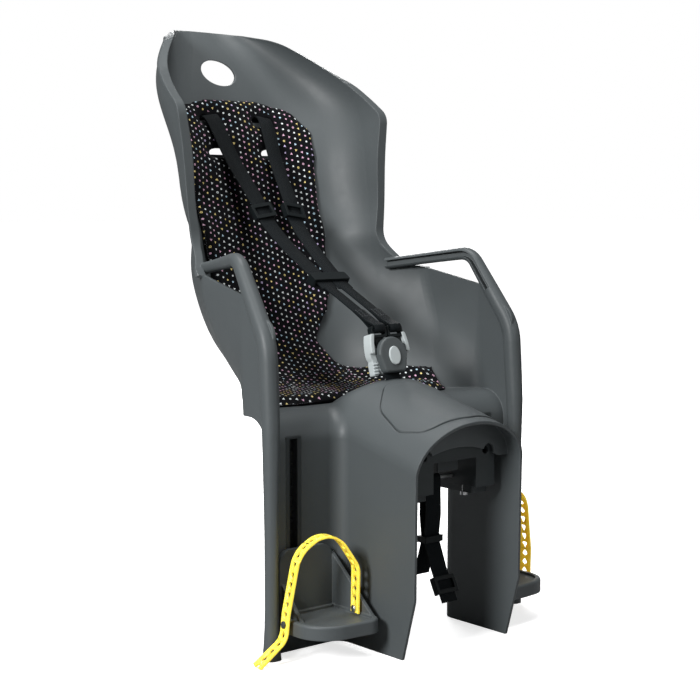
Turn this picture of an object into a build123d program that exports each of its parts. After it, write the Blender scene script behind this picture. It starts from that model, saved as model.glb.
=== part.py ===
from build123d import *
from collections import namedtuple
from math import atan, cos, radians, sin
import os

# Child seat that rides behind the saddle of a bicycle on a sprung bow.
# Millimetres. +X is the child's left, -Y is the way it rides and +Z is up.
# The origin lies midway between the mouths of the two sockets that take the bow.

os.makedirs("parts", exist_ok=True)

# Seat shell
WALL = 4.0
FLOOR_Z = 52.0
FOOT_Z = -240.0
PANEL_Y = 112.0
KNEE_R = 36.0
BODY_HALF = 199.0
ARM_Y = 162.0
ROOT_R = 18.0
WING_GAP = 8.0
WING_SKIN = 3.0
FAR = 700.0

# Height over the floor, back, back corner, side corner, their radii, share of the wall taken down
Station = namedtuple("Station", "height back corner side_x side_y corner_r side_r drop")
STATIONS = (
    Station(0.0, 255.0, 60.0, 140.0, 205.0, 40.0, 30.0, 1.0),
    Station(13.0, 287.0, 75.0, 152.0, 208.0, 48.0, 35.0, 0.8),
    Station(38.0, 318.0, 96.0, 168.0, 215.0, 62.0, 40.0, 0.5),
    Station(68.0, 341.0, 114.0, 180.0, 228.0, 75.0, 45.0, 0.2),
    Station(108.0, 361.0, 126.0, 188.0, 245.0, 88.0, 45.0, 0.0),
    Station(158.0, 380.0, 131.0, 189.0, 260.0, 90.0, 45.0, 0.0),
    Station(208.0, 397.0, 131.0, 180.0, 225.0, 90.0, 45.0, 0.0),
    Station(283.0, 424.0, 140.0, 178.0, 215.0, 95.0, 45.0, 0.0),
    Station(370.0, 455.0, 150.0, 182.0, 200.0, 100.0, 45.0, 0.0),
    Station(416.0, 480.0, 146.0, 178.0, 200.0, 100.0, 45.0, 0.0),
    Station(448.0, 500.0, 127.0, 161.0, 200.0, 95.0, 45.0, 0.0),
    Station(482.0, 525.0, 90.0, 128.0, 200.0, 75.0, 45.0, 0.0),
    Station(518.0, 552.0, 40.0, 84.0, 200.0, 38.0, 45.0, 0.0),
)

# Edge line of the shell seen from the side: distance back, height over the floor, corner radius
RIM_Y = 99.0
EDGE_LINE = (
    (520.0, 503.0, 60.0),
    (470.0, 488.0, 90.0),
    (331.0, 379.0, 26.0),
    (323.0, 203.0, 40.0),
    (290.0, 169.0, 40.0),
    (262.0, 164.0, 20.0),
    (150.0, 141.0, 60.0),
    (RIM_Y, 106.0, 20.0),
)
# Rear line of the folded wing edge, from the top of the back down to the arm
WING_BACK = (
    (486.0, 492.0),
    (458.0, 468.0),
    (431.0, 442.0),
    (402.0, 398.0),
    (393.0, 370.0),
    (377.0, 283.0),
    (362.0, 208.0),
    (330.0, 158.0),
)
WING_FOOT = ((290.0, 143.0), (255.0, 143.0))
WING_R = 20.0
WING_FOOT_R = 6.0

# Arm loop that runs on as the front rim of the leg
ARM_ROOT = (160.0, 308.0, 168.0)
ARM_BEND = (197.0, 176.0, 186.0)
ARM_KNEE = (206.0, 106.0, 88.0)
RIM_X = 207.0
RIM_TOP = -12.0
ARM_RADII = (26.0, 70.0, 150.0)
ARM_SIZE = 16.0
ARM_GROWTH = ((0.0, ARM_SIZE), (0.15, ARM_SIZE), (0.3, 20.0), (0.46, 22.0), (1.0, 22.0))
ARM_ROUND = 0.42
ARM_GROOVE = 7.0

# Hump over the wheel tunnel
HUMP_HALF = 90.0
HUMP_CROWN = 54.0
HUMP_SHOULDER = -8.0
HUMP_SLOPE = 0.263
HUMP_REAR_Y = 118.0
HUMP_REAR_RUN = 34.0
CROWN_R = 22.0
LEG_SPLIT_X = 125.0
TUNNEL_FRONT = ((-41.0, 60.0), (-27.0, -15.0), (-25.0, -165.0), (-4.0, FOOT_Z))
TUNNEL_R = 20.0
FASCIA_Y = -6.0
FASCIA_LOW = 9.0
FASCIA_R = 150.0
NOTCH_R = 9.0

# Openings in the back
HAND_HOLE_Z = 440.0
HAND_HOLE_W = 58.0
HAND_HOLE_H = 38.0
SLOT_X = 46.0
SLOT_W = 34.0
SLOT_H = 10.0
SLOT_HEIGHTS = (373.0, 326.0)

# Hump cover
COVER_T = 3.0
COVER_SUNK = 1.5
COVER_GAP = 0.6
COVER_LINE = (
    (-30.0, 98.0),
    (30.0, 98.0),
    (66.0, 66.0),
    (76.0, 20.0),
    (62.0, -16.0),
    (0.0, -26.0),
    (-62.0, -16.0),
    (-76.0, 20.0),
    (-66.0, 66.0),
)
COVER_R = 26.0

# Seat pad
PAD_T = 8.0
PAD_GAP = 0.2
PAD_BACK = (
    (52.0, 404.0),
    (98.0, 394.0),
    (121.0, 362.0),
    (113.0, 285.0),
    (110.0, 200.0),
    (103.0, 130.0),
    (86.0, 96.0),
    (40.0, 50.0),
)
PAD_SEAT = (
    (44.0, 345.0),
    (62.0, 298.0),
    (120.0, 258.0),
    (158.0, 216.0),
    (163.0, 182.0),
    (148.0, 158.0),
    (100.0, 152.0),
    (40.0, 154.0),
)
PAD_R = 20.0
PAD_SEAT_R = 8.0
PAD_FOLD = 60.0

# Harness webbing
WEB_W = 25.0
WEB_T = 1.8
FIT = 0.3
SLIDER_L = 22.0
SLIDER_T = 3.0
CHEEK = 4.0
SLIDER_BAR = 5.0
SLIDER_AT = 34.0
STRAP_DROP = 18.0
STRAP_RADII = (60.0, 12.0)
STRAP_BEND = (335.0, 214.0)
KEEPER = (245.0, 152.0)
KEEPER_X = 13.4
KEEPER_L = 16.0
KEEPER_GAP = 7.0
LOWER_W = 18.0
ANCHOR_T = 5.0
ANCHOR_H = 18.0
ANCHOR_GAP = 0.5

# Buckle
BUCKLE_Y = 122.0
BUCKLE_Z = 112.0
BUCKLE_TILT = 15.0
BUCKLE_H = 46.0
BUCKLE_FOOT = 34.0
BUCKLE_HALF = 10.0
BUCKLE_R = 6.0
BUCKLE_SOFT = 3.0
SHOULDER_W = 65.0
SHOULDER_H = 22.0
SHOULDER_UP = 4.0
EAR_X = 29.4
EAR_W = 6.2
EAR_H = 34.0
EAR_UP = 15.0
EAR_FRONT = 5.0
TAB_X = -26.0
TAB_UP = -16.0
TAB_W = 8.0
TAB_H = 18.0
TAB_RIBS = 4
TAB_PITCH = 4.0
BUTTON_W = 18.0
BUTTON_H = 24.0
BUTTON_PROUD = 2.0
BUTTON_TRAVEL = 3.5
BUTTON_LOW = 2.0
TONGUE_W = 25.0
TONGUE_H = 15.0
TONGUE_T = 8.0
TONGUE_BAR = 4.0
BLADE_W = 14.0
BLADE_T = 3.0
BLADE_L = 14.0
CROTCH_L = 14.0
CROTCH_SLOT = 6.0
CROTCH_BAR_L = 42.0

# Bow adapter
SOCKET_SPACING = 104.0
SOCKET_R = 5.05
SOCKET_DEPTH = 90.0
ADAPTER_HALF = 68.0
ADAPTER_INNER = 36.0
ADAPTER_TOP = 12.0
ADAPTER_LOW = -46.0
ADAPTER_LENGTH = 104.0
BRIDGE_T = 20.0
CLAMP_T = 9.0
ADAPTER_R = 6.0
BOSS_X = 24.0
BOSS_YS = (26.0, 84.0)
BOSS_R = 7.0
SCREW_R = 2.5
SCREW_L = 30.0
HEAD_R = 6.0
HEAD_T = 4.0
CLAMP_SCREW_X = 41.0
CLAMP_SCREW_R = 3.0
CLAMP_HEAD_R = 5.0
PLATE_W = 34.0
PLATE_H = 15.0
PLATE_Y = 13.0

# Safety strap
STRAP_BAR_Y = 44.0
STRAP_BAR_Z = -36.0
STRAP_BAR_R = 3.0
SAFETY_W = 25.0
SAFETY_R = 30.0
WAIST_L = 8.0
WAIST_GAP = 9.0
SAFETY_FRONT = ((-5.5, -46.0), (-1.6, -76.0), (-16.0, -112.0), (-36.0, -150.0))
SAFETY_REAR = ((5.5, -46.0), (1.6, -76.0), (16.0, -124.0))

# Footrest rack
RACK_X = 163.0
RACK_W = 24.0
RACK_LOW = -216.0
RACK_TOP = 24.0
RACK_DEPTH = 18.0
RACK_WALL = 2.5
RACK_MOUTH = 12.0
RACK_FLANGE = 6.0
TOOTH_PITCH = 14.0
TOOTH_H = 4.0
TOOTH_D = 3.0
CLIP_Z = -25.0
CLIP_H = 20.0
CLIP_W = 16.0
CLIP_D = 10.0

# Footrest
PAN_LINE = ((103.0, 107.0), (103.0, 12.0), (199.0, 20.0), (199.0, 82.0), (187.0, 107.0))
PAN_RADII = (3.0, 18.0, 42.0, 6.0, 3.0)
PAN_LOW = -206.0
PAN_RIM = -189.0
PAN_SOFT = 3.0
PAN_SUNK = 3.5
PAN_FLOOR = 3.5
PAN_WALL = 4.0
GUSSET_T = 5.0
GUSSETS = ((103.0, -124.0, 26.0), (182.0, -150.0, 66.0))
CARRIAGE_TOP = -112.0
CARRIAGE_X = (107.0, 190.0)
CARRIAGE_T = 6.0
CARRIAGE_R = 18.0
RUNNER_TOP = -120.0
RUNNER_LOW = -204.0
RUNNER_HEAD = 8.5

# Foot strap
BAND_W = 18.0
BAND_T = 2.5
BAND_TURN = 10.8
BAND_START = (111.8, 57.0)
BAND_HOLE_R = 2.6
BAND_HOLE_TIP = 4.6
BAND_PITCH = 12.0
STUD_R = 2.3
STUD_UP = 8.0
RIVET_END = 5.0
PIN_IN = 9.0
PIN_HEAD_R = 4.5
PIN_HEAD_T = 2.5
BAND_LONG = (
    (0.0, -190.0, 0),
    (-1.0, -132.0, 26.0),
    (34.0, -80.0, 32.0),
    (79.0, -108.0, 40.0),
    (94.0, -180.0, 60.0),
    (97.0, -210.0, 24.0),
    (132.0, -238.5, 0),
)
BAND_SHORT = (
    (0.0, -190.0, 0),
    (-1.0, -124.0, 26.0),
    (34.0, -66.0, 30.0),
    (84.0, -84.0, 34.0),
    (95.0, -160.0, 50.0),
    (94.0, -190.0, 60.0),
    (94.0, -214.0, 0),
)

SIDES = ("left", "right")


def up(height):
    """Height over the seat floor as a Z value."""
    return FLOOR_Z + height


def finish(piece, name):
    """Name a finished piece and write it."""
    piece.part.label = name
    export_step(piece.part, f"parts/{name}.step")


def section(station, grow):
    """Plan outline of the bucket at one height, offset outwards by grow."""
    side, corner = (station.side_x, station.side_y), (station.corner, station.back)
    right = [(-BODY_HALF, -FAR / 6), (-BODY_HALF, ARM_Y), (-side[0], side[1]), (-corner[0], corner[1])]
    left = [(-x, y) for x, y in reversed(right)]
    radii = [station.side_r * 0.6, station.side_r, station.corner_r]
    with BuildSketch(Plane.XY.offset(up(station.height) - grow * station.drop)) as outline:
        with BuildLine():
            edge = FilletPolyline(*right, *left, radius=radii + radii[::-1])
            Line(edge @ 1, edge @ 0)
        make_face()
        if grow:
            offset(amount=grow)
    return outline.sketch


def bucket(grow):
    """Space inside the back and the seat, grown by grow."""
    with BuildPart() as space:
        loft(sections=[section(station, grow) for station in STATIONS])
    return space.part


def is_crown(edge):
    """The arched edge between the crown of the hump and its rear slope."""
    box = edge.bounding_box()
    return box.size.X > HUMP_HALF and box.max.Z > FLOOR_Z and box.min.Y > 0


def hump(shrink):
    """Solid of the hump and tunnel between the legs, its skin taken in by shrink."""
    half, rise = HUMP_HALF - shrink, HUMP_CROWN - HUMP_SHOULDER - shrink
    start = -FAR / 4
    spring = HUMP_SHOULDER + HUMP_SLOPE * start
    low = FOOT_Z - FAR / 3
    top = HUMP_CROWN + HUMP_SLOPE * HUMP_REAR_Y
    rear = Vector(0, top - FLOOR_Z, HUMP_REAR_RUN).normalized()
    with BuildPart() as solid:
        with BuildSketch(Plane.XZ.offset(-start)):
            with BuildLine():
                EllipticalCenterArc((0, spring), half, rise, start_angle=0, arc_size=180)
                Polyline((half, spring), (half, low), (-half, low), (-half, spring))
            make_face()
        extrude(amount=FAR / 2, dir=(0, 1, HUMP_SLOPE))
        origin = Vector(0, HUMP_REAR_Y, top) - rear * shrink
        split(bisect_by=Plane(origin=origin, z_dir=rear), keep=Keep.BOTTOM)
        fillet(solid.edges().filter_by(is_crown), CROWN_R - 1.25 * abs(shrink))
    return solid.part


def legs(grow):
    """Space in front of the leg panels, rounded over the knee."""
    y, z, knee = PANEL_Y + grow, FLOOR_Z - grow, KNEE_R - grow
    front, low = -FAR / 6 - grow, FOOT_Z - FAR / 30
    with BuildPart() as space:
        with BuildSketch(Plane.YZ):
            with BuildLine():
                Polyline((y + knee, z), (front, z), (front, low), (y, low), (y, z - knee))
                RadiusArc((y, z - knee), (y + knee, z), knee)
            make_face()
        extrude(amount=BODY_HALF + grow, both=True)
    return space.part


def is_root(edge):
    """An edge where the hump meets the leg panels, the knee or the floor."""
    box = edge.bounding_box()
    middle = box.center()
    beside = abs(middle.X) > 0.7 * HUMP_HALF or box.min.Y > PANEL_Y + 0.5 * KNEE_R
    across = abs(middle.X) < HUMP_HALF + WALL and box.max.Z < FLOOR_Z + 2 * WALL
    rear_end = HUMP_REAR_Y + HUMP_REAR_RUN + 3 * WALL
    between = box.min.Y > PANEL_Y - 3 * WALL and box.max.Y < rear_end
    return beside and across and between and box.max.Z > FOOT_Z


def seat_space(grow):
    """Everything in front of the shell's inner face, that face moved out by grow."""
    inside, below, middle = bucket(grow), legs(grow), hump(grow)
    with BuildPart() as space:
        add(inside)
        add(below)
        add(middle, mode=Mode.SUBTRACT)
        fillet(space.edges().filter_by(is_root), ROOT_R + grow)
    return space.part


def side_prism(line, half=FAR / 2):
    """Side outline of (y, z, radius) points drawn out across the whole width."""
    with BuildPart() as prism:
        with BuildSketch(Plane.YZ):
            with BuildLine():
                FilletPolyline(*[p[:2] for p in line], radius=[p[2] for p in line], close=True)
            make_face()
        extrude(amount=half, both=True)
    return prism.part


def above_edge(grow):
    """What the shell's edge line cuts away, grown by grow towards the shell."""
    line = [(y, up(height), radius) for y, height, radius in EDGE_LINE]
    low = up(EDGE_LINE[-1][1]) - 2 * ARM_SIZE
    high = up(FAR)
    far = [(RIM_Y, low, 0), (-FAR, low, 0), (-FAR, high, 0), (FAR, high, 0), (FAR, line[0][1] + 2 * WALL, 0)]
    with BuildPart() as prism:
        with BuildSketch(Plane.YZ):
            with BuildLine():
                points = line + far
                FilletPolyline(*[p[:2] for p in points], radius=[p[2] for p in points], close=True)
            make_face()
            if grow:
                offset(amount=grow)
        extrude(amount=FAR, both=True)
    return prism.part


def wing_section(station, near, far):
    """Thin strip round the left back corner of the bucket, between two offsets from its inside."""
    side, corner = Vector(station.side_x, station.side_y), Vector(station.corner, station.back)
    along = (corner - side).normalized()
    out = Vector(along.Y, -along.X)
    end = 0.1 * station.corner
    strip = []
    for away in (near, far):
        start, back = side + out * away, station.back + away
        tip = start.X + (back - start.Y) * along.X / along.Y
        strip.append([(start.X, start.Y), (tip, back), (end, back)])
    with BuildSketch(Plane.XY.offset(up(station.height))) as outline:
        with BuildLine():
            first = FilletPolyline(*strip[0], radius=station.corner_r + near)
            last = FilletPolyline(*strip[1], radius=station.corner_r + far)
            Line(first @ 0, last @ 0)
            Line(first @ 1, last @ 1)
        make_face()
    return outline.sketch


def wing_fold():
    """The wing edges turned out and back: an outer skin, joined to the shell along its edge."""
    gap = WALL + WING_GAP
    band = side_prism(
        [(WING_BACK[0][0], up(WING_BACK[0][1]), 0)]
        + [(y, up(height), WING_R) for y, height in WING_BACK[1:]]
        + [(y, up(height), WING_FOOT_R) for y, height in WING_FOOT]
        + [(WING_FOOT[-1][0], up(EDGE_LINE[0][1]), 0)]
    )
    lip, far_off = above_edge(WALL), above_edge(-WALL)
    stations = [station for station in STATIONS if station.height > WING_FOOT[0][1] - 2 * ARM_SIZE - WALL]
    with BuildPart() as hem:
        loft(sections=[wing_section(station, WALL / 2, gap + WING_SKIN / 2) for station in stations])
        add(lip, mode=Mode.INTERSECT)
    with BuildPart() as fold:
        loft(sections=[wing_section(station, gap, gap + WING_SKIN) for station in stations])
        add(hem.part)
        add(band, mode=Mode.INTERSECT)
        add(far_off, mode=Mode.SUBTRACT)
        mirror(about=Plane.YZ)
    return fold.part


def arm_path(points, radii):
    """Centre line of an arm on the child's left."""
    with BuildLine() as path:
        FilletPolyline(*points, radius=list(radii))
    return path.wire()


def arm_points():
    """Corner points of the arm and rim, from the wing to the foot of the leg."""
    upper = [(x, y, up(height)) for x, y, height in (ARM_ROOT, ARM_BEND, ARM_KNEE)]
    return upper + [(RIM_X, RIM_Y, up(RIM_TOP)), (RIM_X, RIM_Y, FOOT_Z)]


def arm_loops():
    """Both arms with the rims below them, thicker towards the rim and grooved on the inside of the arms."""
    points = arm_points()
    path = arm_path(points, ARM_RADII)
    short = arm_path(points[:2] + [(Vector(*points[1]) + Vector(*points[2])) * 0.5], ARM_RADII[:1])
    outlines = []
    for share, size in ARM_GROWTH:
        with BuildSketch(Plane(origin=path @ share, x_dir=(1, 0, 0), z_dir=path % share)) as outline:
            RectangleRounded(size, size, ARM_ROUND * size)
        outlines.append(outline.sketch)
    with BuildPart() as grooves:
        with BuildSketch(Plane(origin=short @ 0, x_dir=(1, 0, 0), z_dir=short % 0)):
            with Locations((-ARM_SIZE / 2, 0)):
                Rectangle(ARM_SIZE, ARM_GROOVE)
        sweep(path=short)
    with BuildPart() as loops:
        sweep(sections=outlines, path=path, multisection=True, transition=Transition.RIGHT)
        add(grooves.part, mode=Mode.SUBTRACT)
        mirror(about=Plane.YZ)
    return loops.part


def fascia():
    """Wall across the front of the hump, arched below, with a notch over each bow rod."""
    core = hump(WALL / 2)
    with BuildPart() as wall:
        with BuildSketch(Plane.XZ.offset(-FASCIA_Y)):
            with Locations((0, FASCIA_LOW)):
                Rectangle(2 * HUMP_HALF, FAR / 4)
            with Locations((0, FASCIA_LOW - FASCIA_R)):
                Circle(FASCIA_R, mode=Mode.SUBTRACT)
            with Locations((0, -HUMP_HALF - 2 * WALL)):
                Rectangle(FAR, 2 * HUMP_HALF, mode=Mode.SUBTRACT, align=(Align.CENTER, Align.CENTER))
            with Locations((-SOCKET_SPACING / 2, 0), (SOCKET_SPACING / 2, 0)):
                Circle(NOTCH_R, mode=Mode.SUBTRACT)
                Rectangle(2 * NOTCH_R, HUMP_HALF, align=(Align.CENTER, Align.MAX), mode=Mode.SUBTRACT)
        extrude(amount=-WALL)
        add(core, mode=Mode.INTERSECT)
    return wall.part


def boss_spots():
    """Places of the four screw bosses under the hump."""
    return [(x, y) for x in (-BOSS_X, BOSS_X) for y in BOSS_YS]


def bosses():
    """Screw bosses that reach from the hump's inside down to the adapter."""
    core = hump(WALL / 2)
    with BuildPart() as posts:
        with BuildSketch(Plane.XY.offset(ADAPTER_TOP)):
            with Locations(*boss_spots()):
                Circle(BOSS_R)
                Circle(SCREW_R + FIT / 3, mode=Mode.SUBTRACT)
        extrude(amount=FAR / 6)
        add(core, mode=Mode.INTERSECT)
    return posts.part


def cover_prism(gap):
    """Upright prism of the cover's outline, taken in by gap."""
    with BuildPart() as prism:
        with BuildSketch(Plane.XY.offset(FOOT_Z / 4)):
            with BuildLine():
                FilletPolyline(*COVER_LINE, radius=COVER_R, close=True)
            make_face()
            if gap:
                offset(amount=-gap)
        extrude(amount=FAR / 4)
    return prism.part


def harness_slots():
    """Both rows of strap slots through the back."""
    with BuildPart() as slots:
        with BuildSketch(Plane.XZ.offset(-FAR)):
            for height in SLOT_HEIGHTS:
                with Locations((-SLOT_X, up(height)), (SLOT_X, up(height))):
                    RectangleRounded(SLOT_W, SLOT_H, SLOT_H / 3)
        extrude(amount=FAR / 2)
    return slots.part


def tilted(origin, along, x_dir=(1, 0, 0)):
    """Plane at origin whose local y runs along a direction and whose local x is x_dir."""
    return Plane(origin=origin, x_dir=x_dir, z_dir=Vector(*x_dir).cross(Vector(*along)))


buckle = tilted((0, BUCKLE_Y, BUCKLE_Z), (0, sin(radians(BUCKLE_TILT)), cos(radians(BUCKLE_TILT))))

with BuildPart() as tunnel_cut:
    with BuildSketch(Plane.YZ):
        with BuildLine():
            line = [(y, z, TUNNEL_R) for y, z in TUNNEL_FRONT[:-1]] + [(*TUNNEL_FRONT[-1], 0)]
            ends = [(TUNNEL_FRONT[-1][0], FOOT_Z - FAR / 10, 0), (-FAR / 2, FOOT_Z - FAR / 10, 0)]
            top = [(-FAR / 2, FLOOR_Z + HUMP_HALF, 0), (TUNNEL_FRONT[0][0], FLOOR_Z + HUMP_HALF, 0)]
            corners = line + ends + top
            FilletPolyline(*[p[:2] for p in corners], radius=[p[2] for p in corners], close=True)
        make_face()
    extrude(amount=LEG_SPLIT_X, both=True)

with BuildPart() as leg_cut:
    with BuildSketch(Plane.XY.offset(FOOT_Z - FAR / 10)):
        with Locations((LEG_SPLIT_X, RIM_Y)):
            Rectangle(FAR, FAR, align=(Align.MIN, Align.MAX))
        with Locations((-LEG_SPLIT_X, RIM_Y)):
            Rectangle(FAR, FAR, align=(Align.MAX, Align.MAX))
    extrude(amount=up(EDGE_LINE[-1][1]) - FOOT_Z + FAR / 10)
    with BuildSketch(Plane.XY.offset(FOOT_Z)):
        Rectangle(2 * FAR, 2 * FAR)
    extrude(amount=-FAR / 2)

slots = harness_slots()
with BuildPart() as openings:
    add(slots)
    with BuildSketch(Plane.XZ.offset(-FAR)):
        with Locations((0, up(HAND_HOLE_Z))):
            Ellipse(HAND_HOLE_W / 2, HAND_HOLE_H / 2)
    extrude(amount=FAR / 2)
    with BuildSketch(buckle.offset(-CROTCH_SLOT / 2)):
        with Locations((0, -BUCKLE_H / 2 - CROTCH_L)):
            Rectangle(WEB_W + CROTCH_SLOT, 2 * CROTCH_L)
    extrude(amount=CROTCH_SLOT)
    with BuildSketch(Plane.XZ.offset(-PANEL_Y + WALL)):
        with Locations((RACK_X, (RACK_LOW + RACK_TOP) / 2), (-RACK_X, (RACK_LOW + RACK_TOP) / 2)):
            Rectangle(RACK_W, RACK_TOP - RACK_LOW)
    extrude(amount=-3 * WALL)

cover_outline, cover_core = cover_prism(0), hump(COVER_SUNK)
with BuildPart() as cover_pocket:
    add(cover_outline)
    add(cover_core, mode=Mode.SUBTRACT)

outer, inner, fold, loops = seat_space(WALL), seat_space(0), wing_fold(), arm_loops()
front_wall, posts, cut_above = fascia(), bosses(), above_edge(0)
with BuildPart() as seat_shell:
    add(outer)
    add(inner, mode=Mode.SUBTRACT)
    add(fold)
    add([cut_above, tunnel_cut.part, leg_cut.part], mode=Mode.SUBTRACT)
    add([front_wall, posts, loops])
    add([cover_pocket.part, openings.part], mode=Mode.SUBTRACT)
finish(seat_shell, "seat_shell")

cover_outline, cover_face = cover_prism(COVER_GAP), hump(COVER_SUNK - COVER_T)
with BuildPart() as hump_cover:
    add(cover_outline)
    add(cover_core, mode=Mode.SUBTRACT)
    add(cover_face, mode=Mode.INTERSECT)
finish(hump_cover, "hump_cover")

pad_out, pad_in = seat_space(-PAD_GAP), seat_space(-PAD_GAP - PAD_T)
with BuildPart() as pad_back:
    with BuildSketch(Plane.XZ.offset(-ARM_Y)):
        with BuildLine():
            half = [(x, up(height)) for x, height in PAD_BACK]
            FilletPolyline(*half, *[(-x, z) for x, z in reversed(half)], radius=PAD_R, close=True)
        make_face()
    extrude(amount=-FAR)
with BuildPart() as pad_seat:
    with BuildSketch(Plane.XY.offset(FLOOR_Z - WALL)):
        with BuildLine():
            half = list(PAD_SEAT)
            FilletPolyline(*half, *[(-x, y) for x, y in reversed(half)], radius=PAD_SEAT_R, close=True)
        make_face()
    extrude(amount=PAD_FOLD + WALL)
with BuildPart() as seat_pad:
    add([pad_back.part, pad_seat.part])
    add(pad_out, mode=Mode.INTERSECT)
    add([pad_in, slots], mode=Mode.SUBTRACT)
finish(seat_pad, "seat_pad")


def slider(plane, web):
    """Three-bar slide over a strap in the middle of the plane, which runs along its local y."""
    half, step = web / 2 + FIT, WEB_T / 2 + FIT
    with BuildPart() as slide:
        with BuildSketch(plane.offset(-step - SLIDER_T)):
            with Locations((-half - CHEEK / 2, 0), (half + CHEEK / 2, 0)):
                RectangleRounded(CHEEK, SLIDER_L, CHEEK / 4)
        extrude(amount=2 * (step + SLIDER_T))
        with BuildSketch(plane.offset(-step - SLIDER_T)):
            Rectangle(2 * half + CHEEK, SLIDER_BAR)
        extrude(amount=SLIDER_T)
        with BuildSketch(plane.offset(step)):
            with Locations((0, (SLIDER_L - SLIDER_BAR) / 2), (0, (SLIDER_BAR - SLIDER_L) / 2)):
                Rectangle(2 * half + CHEEK, SLIDER_BAR)
        extrude(amount=SLIDER_T)
    return slide.part


def paired(make, name):
    """Write a piece of the child's left, and its mirror image for the right."""
    piece = make()
    for side in SIDES:
        with BuildPart() as one:
            add(piece)
            if side == "right":
                mirror(about=Plane.YZ, mode=Mode.REPLACE)
        finish(one, f"{name}_{side}")


# Shoulder strap: an upper run that leans in towards the keeper and a lower run to the tongue
lean = Vector(SLOT_X - KEEPER_X, 0, SLOT_HEIGHTS[0] - KEEPER[1]).normalized()
strap_plane = Plane(origin=(KEEPER_X, 0, up(KEEPER[1])), x_dir=(0, 1, 0), z_dir=Vector(0, 1, 0).cross(lean))
mid_back, top_back = STATIONS[8:10]
back_slope = (top_back.back - mid_back.back) / (top_back.height - mid_back.height)
slot_top = SLOT_HEIGHTS[0] + SLOT_H / 4
slot_back = mid_back.back + back_slope * (slot_top - mid_back.height) + WALL
anchor_y = slot_back + (ANCHOR_T / 2 + ANCHOR_GAP) / cos(atan(back_slope))


def on_strap(y, height):
    """Point of the strap's plane at a distance back and a height over the floor."""
    return Vector(y, (height - KEEPER[1]) / lean.Z)


strap_top = on_strap(slot_back - STRAP_DROP, SLOT_HEIGHTS[0] - SLOT_H / 4)
strap_end = on_strap(anchor_y - (ANCHOR_T / 2 + 3 * FIT) / cos(atan(back_slope)), slot_top)
strap_bend = on_strap(*STRAP_BEND)
slot_y = BUCKLE_H / 2 + TONGUE_H - TONGUE_BAR - 2 * WEB_T
tongue_top = buckle.from_local_coords((KEEPER_X, slot_y + WEB_T / 2, (WEB_T - TONGUE_T) / 2))


def shoulder_strap():
    """Webbing from behind the back to the tongue."""
    with BuildPart() as strap:
        with BuildSketch(strap_plane.offset(-WEB_W / 2)):
            with BuildLine():
                FilletPolyline(on_strap(*KEEPER), strap_bend, strap_top, strap_end, radius=STRAP_RADII)
            trace(line_width=WEB_T)
        extrude(amount=WEB_W)
        with BuildSketch(Plane.YZ.offset(KEEPER_X - LOWER_W / 2)):
            with BuildLine():
                Line((tongue_top.Y, tongue_top.Z), (KEEPER[0] + WEB_T, up(KEEPER[1]) + WEB_T / 2))
            trace(line_width=WEB_T)
        extrude(amount=LOWER_W)
    return strap.part


def shoulder_slider():
    """Slider on the straight part of the upper run."""
    along = (strap_top - strap_bend).normalized()
    spot = strap_bend + along * SLIDER_AT
    origin = strap_plane.from_local_coords((spot.X, spot.Y, 0))
    world = strap_plane.from_local_coords((spot.X + along.X, spot.Y + along.Y, 0)) - origin
    return slider(tilted(origin, world, strap_plane.z_dir), WEB_W)


def strap_anchor():
    """Flat bar behind the back that keeps the strap from pulling through its slot."""
    origin = (SLOT_X, anchor_y, up(slot_top))
    with BuildPart() as bar:
        with BuildSketch(tilted(origin, (0, back_slope, 1)).offset(-ANCHOR_T / 2)):
            RectangleRounded(SLOT_W + 3 * ANCHOR_T, ANCHOR_H, ANCHOR_T / 2)
        extrude(amount=ANCHOR_T)
    return bar.part


def tongue():
    """Buckle tongue: a head with a slot for the webbing and a blade with a latch hole."""
    with BuildPart() as piece:
        with BuildSketch(buckle.offset(-TONGUE_T / 2)):
            with Locations((KEEPER_X, BUCKLE_H / 2 + FIT + TONGUE_H / 2)):
                RectangleRounded(TONGUE_W, TONGUE_H, CHEEK)
            with Locations((KEEPER_X, slot_y)):
                RectangleRounded(LOWER_W + 2 * FIT, 4 * WEB_T, WEB_T / 2, mode=Mode.SUBTRACT)
        extrude(amount=TONGUE_T)
        with BuildSketch(buckle.offset(-BLADE_T / 2)):
            with Locations((KEEPER_X, BUCKLE_H / 2 - BLADE_L / 2 + WEB_T)):
                Rectangle(BLADE_W, BLADE_L + 2 * WEB_T)
            with Locations((KEEPER_X, BUCKLE_H / 2 - BLADE_L / 2)):
                Rectangle(BLADE_W / 2, BLADE_L / 3, mode=Mode.SUBTRACT)
        extrude(amount=BLADE_T)
    return piece.part


paired(shoulder_strap, "shoulder_strap")
paired(shoulder_slider, "strap_slider")
paired(strap_anchor, "strap_anchor")
paired(tongue, "buckle_tongue")

above = strap_bend - on_strap(*KEEPER)
below = Vector(KEEPER[0], up(KEEPER[1])) - Vector(tongue_top.Y, tongue_top.Z)
fall = (0, above.X + below.X, above.Y + below.Y)
with BuildPart() as strap_keeper:
    ring = tilted((0, KEEPER[0], up(KEEPER[1])), fall)
    with BuildSketch(ring.offset(-KEEPER_GAP / 2 - SLIDER_T)):
        RectangleRounded(2 * KEEPER_X + WEB_W + 2 * CHEEK + 2 * FIT, KEEPER_L, CHEEK / 2)
    extrude(amount=KEEPER_GAP + 2 * SLIDER_T)
    with BuildSketch(ring.offset(-KEEPER_GAP / 2)):
        Rectangle(2 * KEEPER_X + WEB_W + 2 * FIT, 2 * KEEPER_L)
    extrude(amount=KEEPER_GAP, mode=Mode.SUBTRACT)
finish(strap_keeper, "strap_keeper")


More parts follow.
